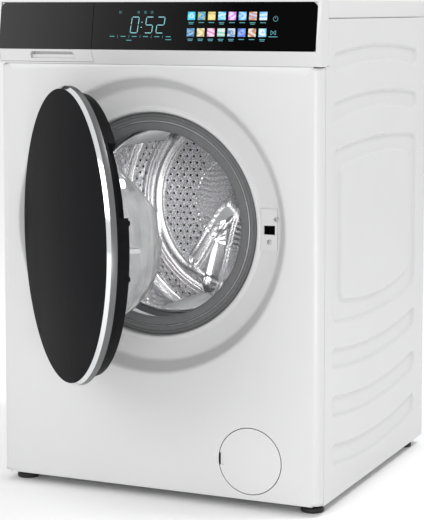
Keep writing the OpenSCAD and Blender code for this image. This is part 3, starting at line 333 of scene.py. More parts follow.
def motorPaint():
    finish = Finish("motor_paint", coat=0.2)
    finish.tone((0.02, 0.02, 0.023), (0.05, 0.05, 0.055), finish.noise(12, 4))
    finish.feed("roughness", 0.35 + 0.2 * finish.noise(5, 3))
    finish.relief(finish.noise(1.6, 3.0), 0.05, 0.5)
    return finish.material


# light of the display; the colour rides on the mesh as the attribute named tint
def displayLight():
    finish = Finish("display_light", colour=(0.0, 0.0, 0.0), roughness=0.4, glowStrength=1.0)
    finish.feed("glow", finish.node("ShaderNodeAttribute", {"attribute_name": "tint"}, {}, "Color"))
    return finish.material


# one finish for each material slot of the record
finishes = {
    "white_steel": whiteEnamel(), "grey_steel": galvanised(), "white_plastic": whiteMoulding(),
    "worktop_white": worktopLaminate(),
    "black_glass": doorGlass(), "clear_glass": clearGlass(),
    "chrome": chromePlate(), "black_plastic": blackMoulding(),
    "grey_rubber": rubber("grey_rubber", (0.115, 0.117, 0.12), (0.155, 0.157, 0.16)),
    "black_rubber": rubber("black_rubber", (0.010, 0.010, 0.011), (0.026, 0.026, 0.027)),
    "stainless": brushed("stainless_sheet", (0.60, 0.60, 0.61), (0.74, 0.74, 0.75), 0.17, (1, 14, 1), 0.003),
    "steel": brushed("turned_steel", (0.40, 0.40, 0.41), (0.60, 0.60, 0.61), 0.22),
    "light_alloy": castAlloy(), "concrete": castConcrete(),
    "tub_plastic": moulding("tub_moulding", (0.44, 0.45, 0.46), (0.56, 0.57, 0.58)),
    "tray_plastic": moulding("tray_moulding", (0.62, 0.67, 0.70), (0.72, 0.76, 0.79), 0.3),
    "lifter_plastic": moulding("lifter_moulding", (0.17, 0.173, 0.176), (0.25, 0.254, 0.258), 0.35),
    "circuit_board": circuitBoard(), "painted_motor": motorPaint(),
}
lamp = displayLight()
smoky = consoleGlass()  # control glass and the drawer's glass
shadedSatin = shadedSatinPlate()
slotOf = {part["node"]: part["material_slot"] for part in frame["record"]["subparts"]}
for name, thing in nodes.items():
    thing.data.materials.clear()
    thing.data.materials.append(finishes[slotOf[name]])
for name in ("control_glass", "drawer_glass"):
    nodes[name].data.materials[0] = smoky
print("finishes made:", len(finishes))


# Mesh helpers: every shape is worked out in millimetres.
weldReach = 0.004  # points nearer than this become one
sharpAngle = 32


# points from arrays or numbers that broadcast together
def xyz(x, y, z):
    return np.stack(np.broadcast_arrays(x, y, z), -1)


# quads of a grid of rows and columns; a loop joins its last line to its first
def gridFaces(rows, columns, loopRows=False, loopColumns=False):
    r = np.arange(rows if loopRows else rows - 1)[:, None]
    c = np.arange(columns if loopColumns else columns - 1)[None, :]
    row, nextRow, nextColumn = r * columns, (r + 1) % rows * columns, (c + 1) % columns
    corners = [row + c, row + nextColumn, nextRow + nextColumn, nextRow + c]
    return np.stack(np.broadcast_arrays(*corners), -1).reshape(-1, 4)


# quads of count separate grids of rings whose columns close up, one after the other
def ringFaces(rings, columns, count):
    starts = np.arange(count) * rings * columns
    return (gridFaces(rings, columns, False, True)[None] + starts[:, None, None]).reshape(-1, 4)


# several shells as one: points and faces one after the other
def joined(*shells):
    points = [np.asarray(p, float).reshape(-1, 3) for p, f in shells]
    starts = np.cumsum([0] + [len(p) for p in points[:-1]])
    return np.concatenate(points), np.concatenate([f + s for (p, f), s in zip(shells, starts)])


# the shell with its faces turned, if need be, to look mostly towards the given direction
def facing(shell, towards):
    points, faces = np.asarray(shell[0], float).reshape(-1, 3), shell[1]
    a, b, c, d = (points[faces[:, k]] for k in range(4))
    normal = np.cross(c - a, d - b).sum(axis=0)
    return points, faces if normal @ np.asarray(towards, float) > 0 else faces[:, ::-1]


# joins points that lie together, turns faces outwards if asked, and shades smooth except over sharp edges
def dress(mesh, weld=True, outward=False, sharp=sharpAngle):
    shape = bmesh.new()
    shape.from_mesh(mesh)
    if weld:
        bmesh.ops.remove_doubles(shape, verts=shape.verts, dist=weldReach * mm)
    if outward:
        bmesh.ops.recalc_face_normals(shape, faces=shape.faces)
    shape.to_mesh(mesh)
    shape.free()
    mesh.shade_smooth()
    mesh.set_sharp_from_angle(angle=math.radians(sharp))


# the object gets a wall that grows inwards, and the modifier is made real
def thicken(thing, wall):
    solid = thing.modifiers.new("wall", "SOLIDIFY")
    solid.thickness = wall * mm
    solid.offset = -1
    mesh = bpy.data.meshes.new_from_object(thing.evaluated_get(bpy.context.evaluated_depsgraph_get()))
    thing.modifiers.clear()
    thing.data = mesh


# a new object of a shell; it rides on a body, or on none
def piece(name, shell, slot, body, replaces=(), sharp=sharpAngle, finish=None, tint=None, outward=True,
          wall=0):
    points, faces = shell
    points = np.asarray(points, float).reshape(-1, 3) * mm
    mesh = bpy.data.meshes.new(name)
    mesh.vertices.add(len(points))
    mesh.vertices.foreach_set("co", points.ravel())
    mesh.loops.add(faces.size)
    mesh.loops.foreach_set("vertex_index", faces.ravel())
    mesh.polygons.add(len(faces))
    mesh.polygons.foreach_set("loop_start", np.arange(0, faces.size, faces.shape[1]))
    mesh.update(calc_edges=True)
    if tint is not None:
        layer = mesh.color_attributes.new("tint", "FLOAT_COLOR", "POINT")
        layer.data.foreach_set("color", np.column_stack([tint, np.ones(len(tint))]).ravel())
    dress(mesh, tint is None, outward, sharp)
    thing = bpy.data.objects.new(name, mesh)
    bpy.context.scene.collection.objects.link(thing)
    mesh.materials.append(finish or finishes[slot])
    if wall:
        thicken(thing, wall)
    if replaces:
        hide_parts(*replaces)
    if body:
        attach(thing, body)
    return thing


# each row is (a, b, reach): the corner at (a, b) gives way to a parabola from reach before it to reach after
def softened(rows, steps=4, closed=True):
    rows = np.asarray(rows, float)
    p, reach = rows[:, :2], rows[:, 2:]
    back, on = np.roll(p, 1, 0) - p, np.roll(p, -1, 0) - p
    backLength, onLength = (np.linalg.norm(v, axis=1, keepdims=True) for v in (back, on))
    reach = np.minimum(reach, 0.45 * np.minimum(backLength, onLength))
    if not closed:
        reach[[0, -1]] = 0
    t = np.linspace(0, 1, steps)[None, :, None]
    start, end = (p + v / length * reach for v, length in ((back, backLength), (on, onLength)))
    curve = (1 - t) ** 2 * start[:, None] + 2 * t * (1 - t) * p[:, None] + t ** 2 * end[:, None]
    return curve.reshape(-1, 2)


# a section of (radius, y) turned about a line along Y through (x, z)
def turned(section, x, z, count, closed=True):
    section = np.asarray(section, float)
    angle = np.arange(count) * 2 * np.pi / count
    points = xyz(x + section[:, :1] * np.cos(angle), section[:, 1:], z + section[:, :1] * np.sin(angle))
    return points, gridFaces(len(section), count, closed, True)


# a section of (radius, z) turned about a line along Z through (x, y)
def turnedUp(section, x, y, count):
    points, faces = turned(section, 0, 0, count)
    return xyz(x + points[..., 0], y + points[..., 2], points[..., 1]), faces


# box whose edges are quarter rounds: a unit sphere cut at its quadrants and moved out to the core's corners
def roundedBox(low, high, radius, steps):
    quarter = np.linspace(0, np.pi / 2, steps + 1)
    turn = (quarter[None, :] + np.arange(4)[:, None] * np.pi / 2).ravel()
    signX = np.repeat([1, -1, -1, 1], steps + 1)
    signY = np.repeat([1, 1, -1, -1], steps + 1)
    tilt = np.concatenate([quarter - np.pi / 2, quarter])
    signZ = np.repeat([-1, 1], steps + 1)[:, None]
    middle, core = (low + high) / 2, (high - low) / 2 - radius
    x = middle[0] + signX * core[0] + radius * np.cos(tilt)[:, None] * np.cos(turn)
    y = middle[1] + signY * core[1] + radius * np.cos(tilt)[:, None] * np.sin(turn)
    z = middle[2] + signZ * core[2] + radius * np.sin(tilt)[:, None]
    rim = xyz(x, y, z)
    caps = [np.broadcast_to([middle[0], middle[1], h], rim[:1].shape) for h in (low[2], high[2])]
    points = np.concatenate([caps[0], rim, caps[1]])
    return points, gridFaces(len(points), len(turn), False, True)


# points of the closed door turned about the hinge to where it stands at rest
def atDoor(points):
    away = np.asarray(points, float) - hinge
    c, s = math.cos(-doorOpen), math.sin(-doorOpen)
    x, y = away[..., 0] * c - away[..., 1] * s, away[..., 0] * s + away[..., 1] * c
    return hinge + xyz(x, y, away[..., 2])


# 0 below 0, 1 above 1, and 3 t squared less 2 t cubed between
def smoothStep(t):
    t = np.clip(t, 0, 1)
    return t * t * (3 - 2 * t)


camera = {"at": (1.2834, -2.9243, 0.8360), "turnedLeft": 24.0, "tiltedDown": 4.48,
          "lens": 121.0, "shift": -0.22, "sensor": 36, "clip": (0.1, 50)}


def makeCamera():
    data = bpy.data.cameras.new("camera")
    data.sensor_width = camera["sensor"]
    data.lens = camera["lens"]
    data.shift_y = camera["shift"]
    data.clip_start, data.clip_end = camera["clip"]
    eye = bpy.data.objects.new("camera", data)
    eye.location = camera["at"]
    eye.rotation_euler = (math.radians(90 - camera["tiltedDown"]), 0, math.radians(camera["turnedLeft"]))
    bpy.context.scene.collection.objects.link(eye)
    bpy.context.scene.camera = eye


# Front panel: a flat sheet with the pressed dish, its corners wrapped round to the sides.

lockSlot = {"from": 205, "to": 225, "half": 9}  # from the porthole's axis, and half its height
frontPanel = {
    "corner": 15, "wrap": 18, "lip": 14, "sheet": 1.2,  # corners, how far they turn back and in, the wall
    "split": 160,  # height where the upper and the lower sheet meet
    "spacing": 6, "upperRings": 7, "lowerRings": 9,  # grid of the flat sheets
    "bottomFold": 3, "topFold": 2,
    # rows of (radius, depth, softness) from the flat sheet to the mouth
    "dish": [(262, 0, 0), (251, 0, 14), (235, 25, 12), (lockSlot["to"], 25, 0), (lockSlot["from"], 25, 0),
             (201.5, 25, 1.5), (198, 22, 2), (193, 22, 2), (190, 31, 0)], "dishSteps": 9,
    "filterRadius": 56.9, "filterMargin": 4, "filterSoft": 0.5,
}


# even spots from low to high, the same wherever two sheets meet
def edgeSpots(low, high):
    return np.linspace(low, high, int((high - low) / frontPanel["spacing"]) + 1)


# lines from all points of a rectangle's edge to a circle round middle, then on by a section of (radius, y)
def rectangleToRound(low, high, middle, section, steps):
    x, z = edgeSpots(low[0], high[0]), edgeSpots(low[1], high[1])
    acrossLow, acrossHigh = (np.full(len(x) - 1, v) for v in (low[1], high[1]))
    upLow, upHigh = (np.full(len(z) - 1, v) for v in (low[0], high[0]))
    edge = np.concatenate([np.stack([x[:-1], acrossLow], -1), np.stack([upHigh, z[:-1]], -1),
                           np.stack([x[:0:-1], acrossHigh], -1), np.stack([upLow, z[:0:-1]], -1)])
    away = edge - middle
    distance = np.linalg.norm(away, axis=1)
    direction = away / distance[:, None]
    t = np.linspace(0, 1, steps)[:, None]
    inner = np.broadcast_to(section[1:, :1], (len(section) - 1, len(edge)))
    radius = np.concatenate([distance * (1 - t) + section[0, 0] * t, inner])
    depth = np.concatenate([np.zeros(steps), section[1:, 1]])[:, None]
    points = xyz(middle[0] + direction[:, 0] * radius, frontY + depth, middle[1] + direction[:, 1] * radius)
    return points, gridFaces(len(points), len(edge), False, True)


# the shell without the faces that lie over the slot of the lock
def withoutSlot(shell):
    points, faces = shell
    middle = points.reshape(-1, 3)[faces].mean(axis=1)
    across, up = middle[:, 0] - portX, middle[:, 2] - portZ
    inSlot = (across > lockSlot["from"]) & (across < lockSlot["to"]) & (abs(up) < lockSlot["half"])
    return points, faces[~inSlot]


def filterCentre():
    low, high = boxOf("filter_cap")
    coverLow, coverHigh = boxOf("filter_cover")
    return (low[0] + high[0]) / 2, (coverLow[2] + coverHigh[2]) / 2


# two flat sheets with round holes, a strip of quarter turns at both sides, and a fold along bottom and top
def makeFrontPanel():
    f = frontPanel
    low, high = cabinetLow[2], cabinetHigh[2]
    bottom, top = low + f["bottomFold"], high - f["topFold"]
    flat = halfWidth - f["corner"]
    dish = softened(f["dish"], f["dishSteps"], closed=False)
    hole = f["filterRadius"]
    rim = softened([(hole + f["filterMargin"], 0, 0), (hole, 0, f["filterSoft"]), (hole, f["sheet"], 0)],
                   closed=False)
    split = f["split"]
    upper = withoutSlot(rectangleToRound((-flat, split), (flat, top), (portX, portZ), dish, f["upperRings"]))
    lower = rectangleToRound((-flat, bottom), (flat, split), filterCentre(), rim, f["lowerRings"])
    angle = np.linspace(0, np.pi / 2, 13)
    wrap = np.concatenate([
        np.stack([flat + f["corner"] * np.sin(angle), f["corner"] * (1 - np.cos(angle))], -1),
        [(halfWidth, f["wrap"] - 1), (halfWidth - 1, f["wrap"]), (halfWidth - f["lip"], f["wrap"])]])
    heights = np.concatenate([edgeSpots(bottom, split), edgeSpots(split, top)[1:]])[:, None]
    strips = []
    for side in (-1, 1):
        points = xyz(side * wrap[:, 0], frontY + wrap[:, 1], heights)
        strips.append(facing((points, gridFaces(len(heights), len(wrap))), (side, -1, 0)))
    folds = []
    along = edgeSpots(-flat, flat)
    for start, end, inward in ((bottom, low, f["bottomFold"]), (top, high, f["topFold"])):
        bend = inward * 0.3, start + (end - start) * 0.7
        fold = np.array([(0, start), bend, (inward, end), (f["wrap"], end)])
        points = xyz(along, frontY + fold[:, :1], fold[:, 1:])
        folds.append(facing((points, gridFaces(len(fold), len(along))), (0, -1, np.sign(end - start))))
    shell = joined(facing(upper, (0, -1, 0)), facing(lower, (0, -1, 0)), *strips, *folds)
    piece("front_skin", shell, "white_steel", "cabinet", ("front_panel",), 40, outward=False, wall=f["sheet"])


# Side panels: one sheet whose depth is a function of (y, z).

sidePanel = {
    "press": 4.5, "soft": 5, "corner": 14,  # depth, slope and corners of the pressings
    "spacing": 2.15, "flange": 14, "notch": 11.8, "seam": 0.4,  # notch: setback beside the worktop
    "front": 37, "rear": 51,  # plain margins before and behind the pressings
    "band": 36,  # height of a band; bow: rise of an upper and a lower edge
    "upper": {"below": (57, 138), "bow": (13, 17)},
    "lower": {"above": (259, 177, 95), "bow": (-18, -18)},
    "field": {"below": 217, "above": 300, "bow": (12, -16), "corner": 20},
    "plateau": {"front": 43, "rear": 40, "top": 31, "low": 37, "bow": (10, -17)},
}


# distance inside a band with bowed upper and lower edges and rounded corners; each bow is a parabola
def insideBand(y, z, ends, top, low, bow, corner):
    u = np.clip((y - ends[0]) / (ends[1] - ends[0]), 0, 1)
    rise = 4 * u * (1 - u)
    across = corner - np.minimum(y - ends[0], ends[1] - y)
    along = corner - np.minimum(top + bow[0] * rise - z, z - low - bow[1] * rise)
    return corner - np.where((across > 0) & (along > 0), np.hypot(across, along), np.maximum(across, along))


# x = half width - press * depth, where depth steps smoothly from 0 to 1 inside each pressing
def makeSidePanel(side, node):
    s = sidePanel
    low, high = boxOf(node)
    start, end = low[1], high[1]
    bottom, top = low[2], high[2]
    y = np.linspace(start, end, int((end - start) / s["spacing"]))
    y = np.concatenate([[start, start], y, [end, end]])
    z = np.linspace(bottom, top, int((top - bottom) / s["spacing"]))
    z = np.concatenate([[bottom, bottom], z, [top, top]])
    z[np.argmin(abs(z - cabinetHigh[2]))] = cabinetHigh[2] - s["seam"]
    yy, zz = np.meshgrid(y, z)
    yy = np.where(zz > cabinetHigh[2], np.maximum(yy, start + s["notch"]), yy)
    ends = start + s["front"], end - s["rear"]
    worktop = top + s["seam"]
    bands = [(worktop - below, s["upper"]["bow"]) for below in s["upper"]["below"]]
    bands += [(bottom + above, s["lower"]["bow"]) for above in s["lower"]["above"]]
    depth = np.zeros_like(yy)
    for bandTop, bow in bands:
        inside = insideBand(yy, zz, ends, bandTop, bandTop - s["band"], bow, s["corner"])
        depth = np.maximum(depth, smoothStep(inside / s["soft"]))
    f, p = s["field"], s["plateau"]
    fieldTop, fieldLow = worktop - f["below"], bottom + f["above"]
    frameIn = insideBand(yy, zz, ends, fieldTop, fieldLow, f["bow"], f["corner"])
    plateau = insideBand(yy, zz, (ends[0] + p["front"], ends[1] - p["rear"]), fieldTop - p["top"],
                         fieldLow + p["low"], p["bow"], s["corner"])
    raised = smoothStep((plateau + s["soft"]) / s["soft"])
    depth = np.maximum(depth, smoothStep(frameIn / s["soft"]) * (1 - raised))
    x = halfWidth - s["press"] * depth
    x[:, [0, -1]] -= s["flange"]
    x[[0, -1], :] = halfWidth - s["flange"]
    shell = xyz(side * x, yy, zz), gridFaces(*yy.shape)
    skin = piece(node.replace("panel", "skin"), shell, "white_steel", "cabinet", (node,), 40, outward=False)
    if side < 0:
        skin.data.flip_normals()


worktop = {"edge": 3.2, "steps": 5}


def makeWorktop():
    shell = roundedBox(*boxOf("top_panel"), worktop["edge"], worktop["steps"])
    piece("worktop", shell, "worktop_white", "cabinet", ("top_panel",))


# Door: the glass disc, the bevel and the band round it, all turned about the door's own axis.

door = {
    "ring": 243, "ringBack": 16, "ringWall": 3, "bevel": 6,
    "glass": 238.5, "gap": 0.3, "glassFront": 0.2, "glassBack": 4,
    "seat": 4.2, "ledge": 4.5, "ledgeBack": 7, "facets": 256,
}


def makeDoor():
    d = door
    ring, glass, bevel, seat = d["ring"], d["glass"], d["bevel"], d["seat"]
    chamfer = softened([(glass, seat, 0), (glass, 0, 0.5), (ring, bevel, 0)], closed=False)
    points, faces = facing(turned(chamfer + [0, doorFront], portX, portZ, d["facets"], False), (0, -1, 0))
    piece("chrome_bevel", (atDoor(points), faces), "chrome", "door", outward=False)
    inner, ledge = ring - d["ringWall"], glass - d["ledge"]
    back, ledgeBack = d["ringBack"], d["ledgeBack"]
    band = softened([
        (ring, bevel, 0.1), (ring, back, 0.8), (inner, back, 0.8), (inner, ledgeBack, 0.3),
        (ledge, ledgeBack, 0.3), (ledge, seat, 0.3), (glass, seat, 0.1), (glass, 5, 0.1),
        (ring - 2, bevel, 0.1)])
    points, faces = turned(band + [0, doorFront], portX, portZ, d["facets"])
    piece("chrome_band", (atDoor(points), faces), "chrome", "door", ("door_chrome_ring",), 30, finish=shadedSatin)
    front, back, edge = d["glassFront"], d["glassBack"], glass - d["gap"]
    disc = softened([(0, front, 0), (edge - 1.5, front, 0.8), (edge, 1.4, 0.8), (edge, back, 0.3),
                     (0, back, 0)], closed=False)
    points, faces = turned(disc + [0, doorFront], portX, portZ, d["facets"])
    piece("door_front_glass", (atDoor(points), faces), "black_glass", "door", ("door_glass",), 30)


# Gasket: the rubber follows the tub where it is clamped to it.

gasket = {
    # rows of (radius, depth, softness): ribbed lip, groove of the wire clamp, fold
    "front": [(160, 1.5, 1), (162, 0, 2), (174, 0, 0.6), (175, 1.8, 0.4), (177, 1.8, 0.4), (178, 0, 0.6),
              (183, 0, 0.4), (183.6, 1.2, 0.4), (184.6, 1.2, 0.4), (185.2, 0, 0.4), (188.6, 0, 0.8),
              (188.6, 1.6, 0.5), (195, 1.6, 1), (195, 8, 2), (187, 8, 2), (187, 20, 2), (196, 25, 2),
              (196, 30, 2), (181, 36, 2)],
    "neck": (181, 176.3),  # outside and inside of the end that sits in the tub
    "back": [(176.3, 33.5, 2), (190, 28.5, 2), (190, 26.5, 2), (182, 22, 2), (182, 6, 2), (160, 6, 1)],
    "still": 24, "moving": 44, "facets": 192,  # depths between which the fold stretches
}


def makeGasket():
    g = gasket
    start = gasketLow[1]
    end = gasketHigh[1] - start
    section = softened(g["front"] + [(radius, end, 1) for radius in g["neck"]] + g["back"])
    shell = turned(section + [0, start], portX, portZ, g["facets"])
    bellows = piece("gasket_rubber", shell, "grey_rubber", None, ("gasket",), 50)
    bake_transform(bellows)


# Springs and hoses between the cabinet and the tub: welded copies in place of the parts.

# each node with its end that stays with the cabinet
stretching = {"suspension_springs": "top", "dispenser_hose": "top", "sump_hose": "bottom"}


def makeStretching(node):
    mesh = nodes[node].data.copy()
    mesh.attributes.remove(mesh.attributes["custom_normal"])
    dress(mesh)
    thing = bpy.data.objects.new(node + "_stretching", mesh)
    bpy.context.scene.collection.objects.link(thing)
    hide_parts(node)
    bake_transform(thing)


# Drum: turned front, perforated wall, pressed rear.

drum = {
    "radius": 234.8, "holes": 64, "rows": 17, "hole": 1.9, "dimple": 5.0, "sink": 0.9, "facets": 192,
    "front": 6, "frontDeep": 22, "rearDeep": 26,  # reach of the lip, depth of the turned ends
}


# wall of cells: each is a square of 8 points round rings of 8 points, the inmost being the edge of its hole
def perforatedWall(y0, y1):
    d = drum
    pitch = (y1 - y0) / d["rows"]
    arc = 2 * np.pi * d["radius"] / d["holes"]
    turn = np.arange(8) * np.pi / 4
    circle = np.stack([np.cos(turn), np.sin(turn)], -1)
    square = np.sign(np.round(circle, 6)) * [arc / 2, pitch / 2]
    rings = np.stack([square, circle * d["dimple"], circle * d["dimple"] * 0.68, circle * d["hole"],
                      circle * d["hole"]])
    sink = np.array([0, 0, d["sink"] * 0.6, d["sink"], d["sink"] + 1.0])
    row, column = np.meshgrid(np.arange(d["rows"]), np.arange(d["holes"]), indexing="ij")
    angle = (column + 0.5 * (row % 2)) * 2 * np.pi / d["holes"]
    theta = angle[..., None, None] + rings[..., 0] / d["radius"]
    y = y0 + (row[..., None, None] + 0.5) * pitch + rings[..., 1]
    radius = d["radius"] + sink[:, None]
    points = xyz(portX + radius * np.cos(theta), y, portZ + radius * np.sin(theta))
    return points, ringFaces(len(rings), len(turn), row.size)


def makeDrum():
    d = drum
    low, high = boxOf("drum_shell")
    y0, y1 = low[1] + d["front"], high[1]
    r = d["radius"]
    front = softened([
        (r, 22, 0), (r, 12, 2), (r - 3, 9, 2), (r, 6, 2), (r - 7, 1.2, 5), (205, 1.2, 2), (201, 4, 2),
        (197, 1.2, 2), (164, 1.2, 2), (160, 3.5, 1.5), (158, -1, 2), (159, -4, 1.5), (162.5, -6, 1.5),
        (165, 0, 2), (229, 0, 3), (236, 6, 4), (236, 22, 0)], closed=False)
    lip = turned(front + [0, y0], portX, portZ, d["facets"], False)
    wall = perforatedWall(y0 + d["frontDeep"], y1 - d["rearDeep"])
    back = softened([(r, -26, 0), (r, -20, 2), (r - 3, -17, 2), (r, -14, 2), (r, 0, 0)], closed=False)
    rear = turned(back + [0, y1], portX, portZ, d["facets"], False)
    piece("drum_skin", joined(lip, wall, rear), "stainless", "drum", ("drum_shell",), 40, outward=False)


rearWall = {
    "arms": (-126, -107), "armLong": (156, 187), "armWide": (12, 13), "armDeep": 6,
    "swirl": 30, "swirlFade": 45, "period": 180, "hub": 14,  # period: degrees between like arms
    "dimplePitch": 14, "dimple": 3.6, "dimpleDeep": 0.8, "holeRadius": 2.2, "holeProud": 0.25,
    "edge": 83, "field": 152, "sector": (74, 168), "outerHoles": (199, 226),
    "rim": (194, 14, 8), "rings": ((174, 11, -6), (159, 4, 1.5), (188, 4, 1.2)),  # (radius, width, depth)
    "flareDeep": 7, "rippleDeep": (1.1, 0.4), "base": 9, "facets": 440,
}


# centres of a staggered field of holes in the wide sectors of the rear wall, and of a ring of them at its rim
def rearHoles():
    w = rearWall
    pitch = w["dimplePitch"]
    column, row = np.meshgrid(np.arange(-17, 18), np.arange(-19, 20))
    x = (column + 0.5 * (row % 2)) * pitch
    z = row * pitch * 0.866
    r, a = np.hypot(x, z), np.degrees(np.arctan2(z, x))
    sector = (a - w["arms"][0]) % w["period"]
    inField = (r > w["edge"] + 5) & (r < w["field"]) & (sector > w["sector"][0]) & (sector < w["sector"][1])
    keep = inField | (r > w["outerHoles"][0]) & (r < w["outerHoles"][1])
    return np.stack([x[keep], z[keep]], -1)


# degrees from the nearest of the spokes that repeat each period
def fromSpoke(angle):
    half = rearWall["period"] / 2
    return (angle + half) % rearWall["period"] - half


# depth towards the rear: a step at the rim, bell-shaped rings, arms whose angle curls by e^(-r / fade), a
# bell-shaped flare between them, crossed sines inside a zigzag edge, and a bell-shaped dimple at each hole
def rearDepth(x, z, holes):
    w = rearWall
    r, a = np.hypot(x, z), np.degrees(np.arctan2(z, x))
    rimAt, rimWide, rimDeep = w["rim"]
    depth = rimDeep * smoothStep((r - rimAt) / rimWide)
    for at, wide, deep in w["rings"]:
        depth = depth + deep * np.exp(-((r - at) / wide) ** 2)
    curl = w["swirl"] * np.exp(-r / w["swirlFade"])
    for start, reach, wide in zip(w["arms"], w["armLong"], w["armWide"]):
        across = r * np.sin(np.radians(fromSpoke(a - start + curl)))
        past = np.maximum(r - reach + wide, 0)
        channel = smoothStep(1.5 - np.hypot(across, past) / wide) * smoothStep((r - w["hub"]) / 20)
        depth = depth + w["armDeep"] * channel
    between = fromSpoke(a - sum(w["arms"]) / 2 + curl)
    flare = np.exp(-(between / 10) ** 2) * smoothStep((r - 30) / 60) * (1 - smoothStep((r - 150) / 25))
    zigzag = w["edge"] + 2.5 * abs((a * 0.35) % 2 - 1)
    inner = 1 - smoothStep((r - zigzag) / 2.5)
    ripple = np.sin(z * 0.62 + 1.6 * np.sin(x * 0.09)) * smoothStep((r - 18) / 30)
    plain, rippled = w["rippleDeep"]
    depth = depth - w["flareDeep"] * flare + inner * (plain + rippled * ripple)
    nearest = np.full(r.shape, np.inf)
    for hole in holes:
        nearest = np.minimum(nearest, (x - hole[0]) ** 2 + (z - hole[1]) ** 2)
    return depth + w["dimpleDeep"] * np.exp(-nearest / w["dimple"] ** 2)


# the wall as rings round the axis, flat at its edge, and a flat black disc just in front of it for each hole,
# painted shade in place of the dark seen through the hole
def makeDrumRear():
    w = rearWall
    edge = drum["radius"]
    base = boxOf("drum_rear")[0][1] + w["base"]
    holes = rearHoles()
    radius = np.concatenate([np.linspace(0, 30, 8), np.linspace(31.5, edge - 0.3, 150)])[:, None]
    angle = np.arange(w["facets"]) * 2 * np.pi / w["facets"]
    x, z = radius * np.cos(angle), radius * np.sin(angle)
    y = base + rearDepth(x, z, holes) * np.minimum(1, (edge - radius) / 6)
    shell = xyz(portX + x, y, portZ + z), gridFaces(len(radius), w["facets"], False, True)
    piece("drum_rear_wall", shell, "stainless", "drum", ("drum_rear",), 60)
    turn = np.arange(12) * np.pi / 6
    rings = np.array([0, w["holeRadius"]])[:, None]
    holeX, holeZ = holes.T[:, :, None, None]
    depth = rearDepth(*holes.T, holes)[:, None, None] - w["holeProud"]
    points = xyz(portX + holeX + rings * np.cos(turn), base + depth, portZ + holeZ + rings * np.sin(turn))
    shell = points, ringFaces(2, len(turn), len(holes))
    # painted shade: a black disc stands in for each hole
    piece("drum_rear_hole_shade", shell, "black_plastic", "drum")


# Lifters: three rounded humps along the drum, with flat black discs on both flanks as painted shade in place of
# holes.

lifter = {
    "half": 36, "high": 57, "end": 26, "shoulder": 0.12,  # shoulder: share of the height left at an end
    "first": -105, "sunk": 0.4,  # first: angle of the first lifter
    "pitch": 13, "hole": 1.6, "squeeze": 0.55, "flank": 22, "rowGap": 5.5, "proud": 0.35,
}


# point at s across and y along: height = high * (1 - |s / half|^2.4)^0.62, a quarter circle down at both ends
def onLifter(s, y, low, high, angle):
    l = lifter
    across = np.clip(abs(s) / l["half"], 0, 1)
    ends = np.minimum(y - low, high - y) / l["end"]
    ends = np.sqrt(np.clip(1 - (1 - np.clip(ends, 0, 1)) ** 2, 0, 1))
    height = l["high"] * (1 - across ** 2.4) ** 0.62 * (l["shoulder"] + (1 - l["shoulder"]) * ends)
    radius = np.sqrt(drum["radius"] ** 2 - s ** 2) - l["sunk"] - height
    x, z = -s * math.sin(angle) + radius * math.cos(angle), s * math.cos(angle) + radius * math.sin(angle)
    return xyz(portX + x, y, portZ + z)


def makeLifters():
    l = lifter
    low, high = boxOf("lifters")
    y0, y1 = low[1], high[1]
    s = l["half"] * np.sin(np.linspace(-np.pi / 2, np.pi / 2, 41))
    quarter = l["end"] * (1 - np.cos(np.linspace(0, np.pi / 2, 12)))
    middle = np.linspace(y0 + l["end"], y1 - l["end"], 20)[1:-1]
    y = np.concatenate([y0 + quarter, middle, y1 - quarter[::-1]])[:, None]
    turn = np.arange(8) * np.pi / 4
    column, row = np.meshgrid(np.arange(16), np.array([-2, -1, 1, 2]))
    spotY = (y0 + l["end"] + (column + 0.5 * (row % 2)) * l["pitch"]).ravel()[:, None, None]
    spotS = (np.sign(row) * (l["flank"] + l["rowGap"] * (abs(row) - 1))).ravel()[:, None, None]
    rings = np.array([0.01, 1])[:, None] * l["hole"]
    humps, discs = [], []
    for index in range(3):
        angle = np.radians(l["first"] + index * 120)
        humps.append((onLifter(s, y, y0, y1, angle), gridFaces(len(y), len(s))))
        across, along = spotS + l["squeeze"] * rings * np.cos(turn), spotY + rings * np.sin(turn)
        points = onLifter(across, along, y0, y1, angle)
        inward = np.array([portX, 0, portZ]) - points * [1, 0, 1]
        points = points + inward / np.linalg.norm(inward, axis=-1, keepdims=True) * l["proud"]
        discs.append((points, ringFaces(2, len(turn), spotY.size)))
    piece("lifter_humps", joined(*humps), "lifter_plastic", "drum", ("lifters",), 60)
    # painted shade: flat black discs a hair proud of each hump stand in for its holes
    piece("lifter_hole_shade", joined(*discs), "black_plastic", "drum")


# Display: everything lies on the sloping glass, a hair in front of it.

display = {
    "proud": 0.18, "slope": 12 / 80, "cyan": (0.05, 0.34, 0.37), "pale": (0.33, 0.80, 0.86),
    "digit": (13.2, 26.5), "lean": 0.10, "stroke": 1.1, "digitLow": 795.5,
    "digits": ((-41.5, "abcdef"), (-14.5, "acdfg"), (6.5, "abdeg")),  # place and lit segments
    "colon": [(-21.2, 804, -21.0, 805.6, 1.5), (-20.4, 812.4, -20.2, 814, 1.5)],
    "icons": (-62, -27.5, -15, -2.5), "iconHeight": 830, "iconRadius": 2.0, "fine": 0.5,
    "captions": (-75, -54, -33, -12, 9, 30),
    "bars": [(-48, 783, -38, 783, 1.2), (25, 784.5, 36, 784.5, 1.2)],
    "pitch": 18.4, "captionStart": 70.5, "captionRows": (813.2, 785.8),  # under the sixteen pictures
    "pictureStart": 63.8, "pictureRows": (817.4, 790.2), "pictureSize": 13.4, "pictureGrid": 16,
    "ring": (221, 819.5, 4.0, 115, 425, 0.8, 18), "ringStem": [(221, 820.5, 221, 824.5, 0.8)],
    "arrows": [(214, 793.5, 214, 800.5, 0.8), (214, 800.5, 219, 797, 0.8), (219, 797, 214, 793.5, 0.8),
               (222.5, 793.5, 222.5, 800.5, 0.8), (222.5, 800.5, 218, 797, 0.8),
               (218, 797, 222.5, 793.5, 0.8), (210, 790.4, 226, 790.4, 1.2)],
}


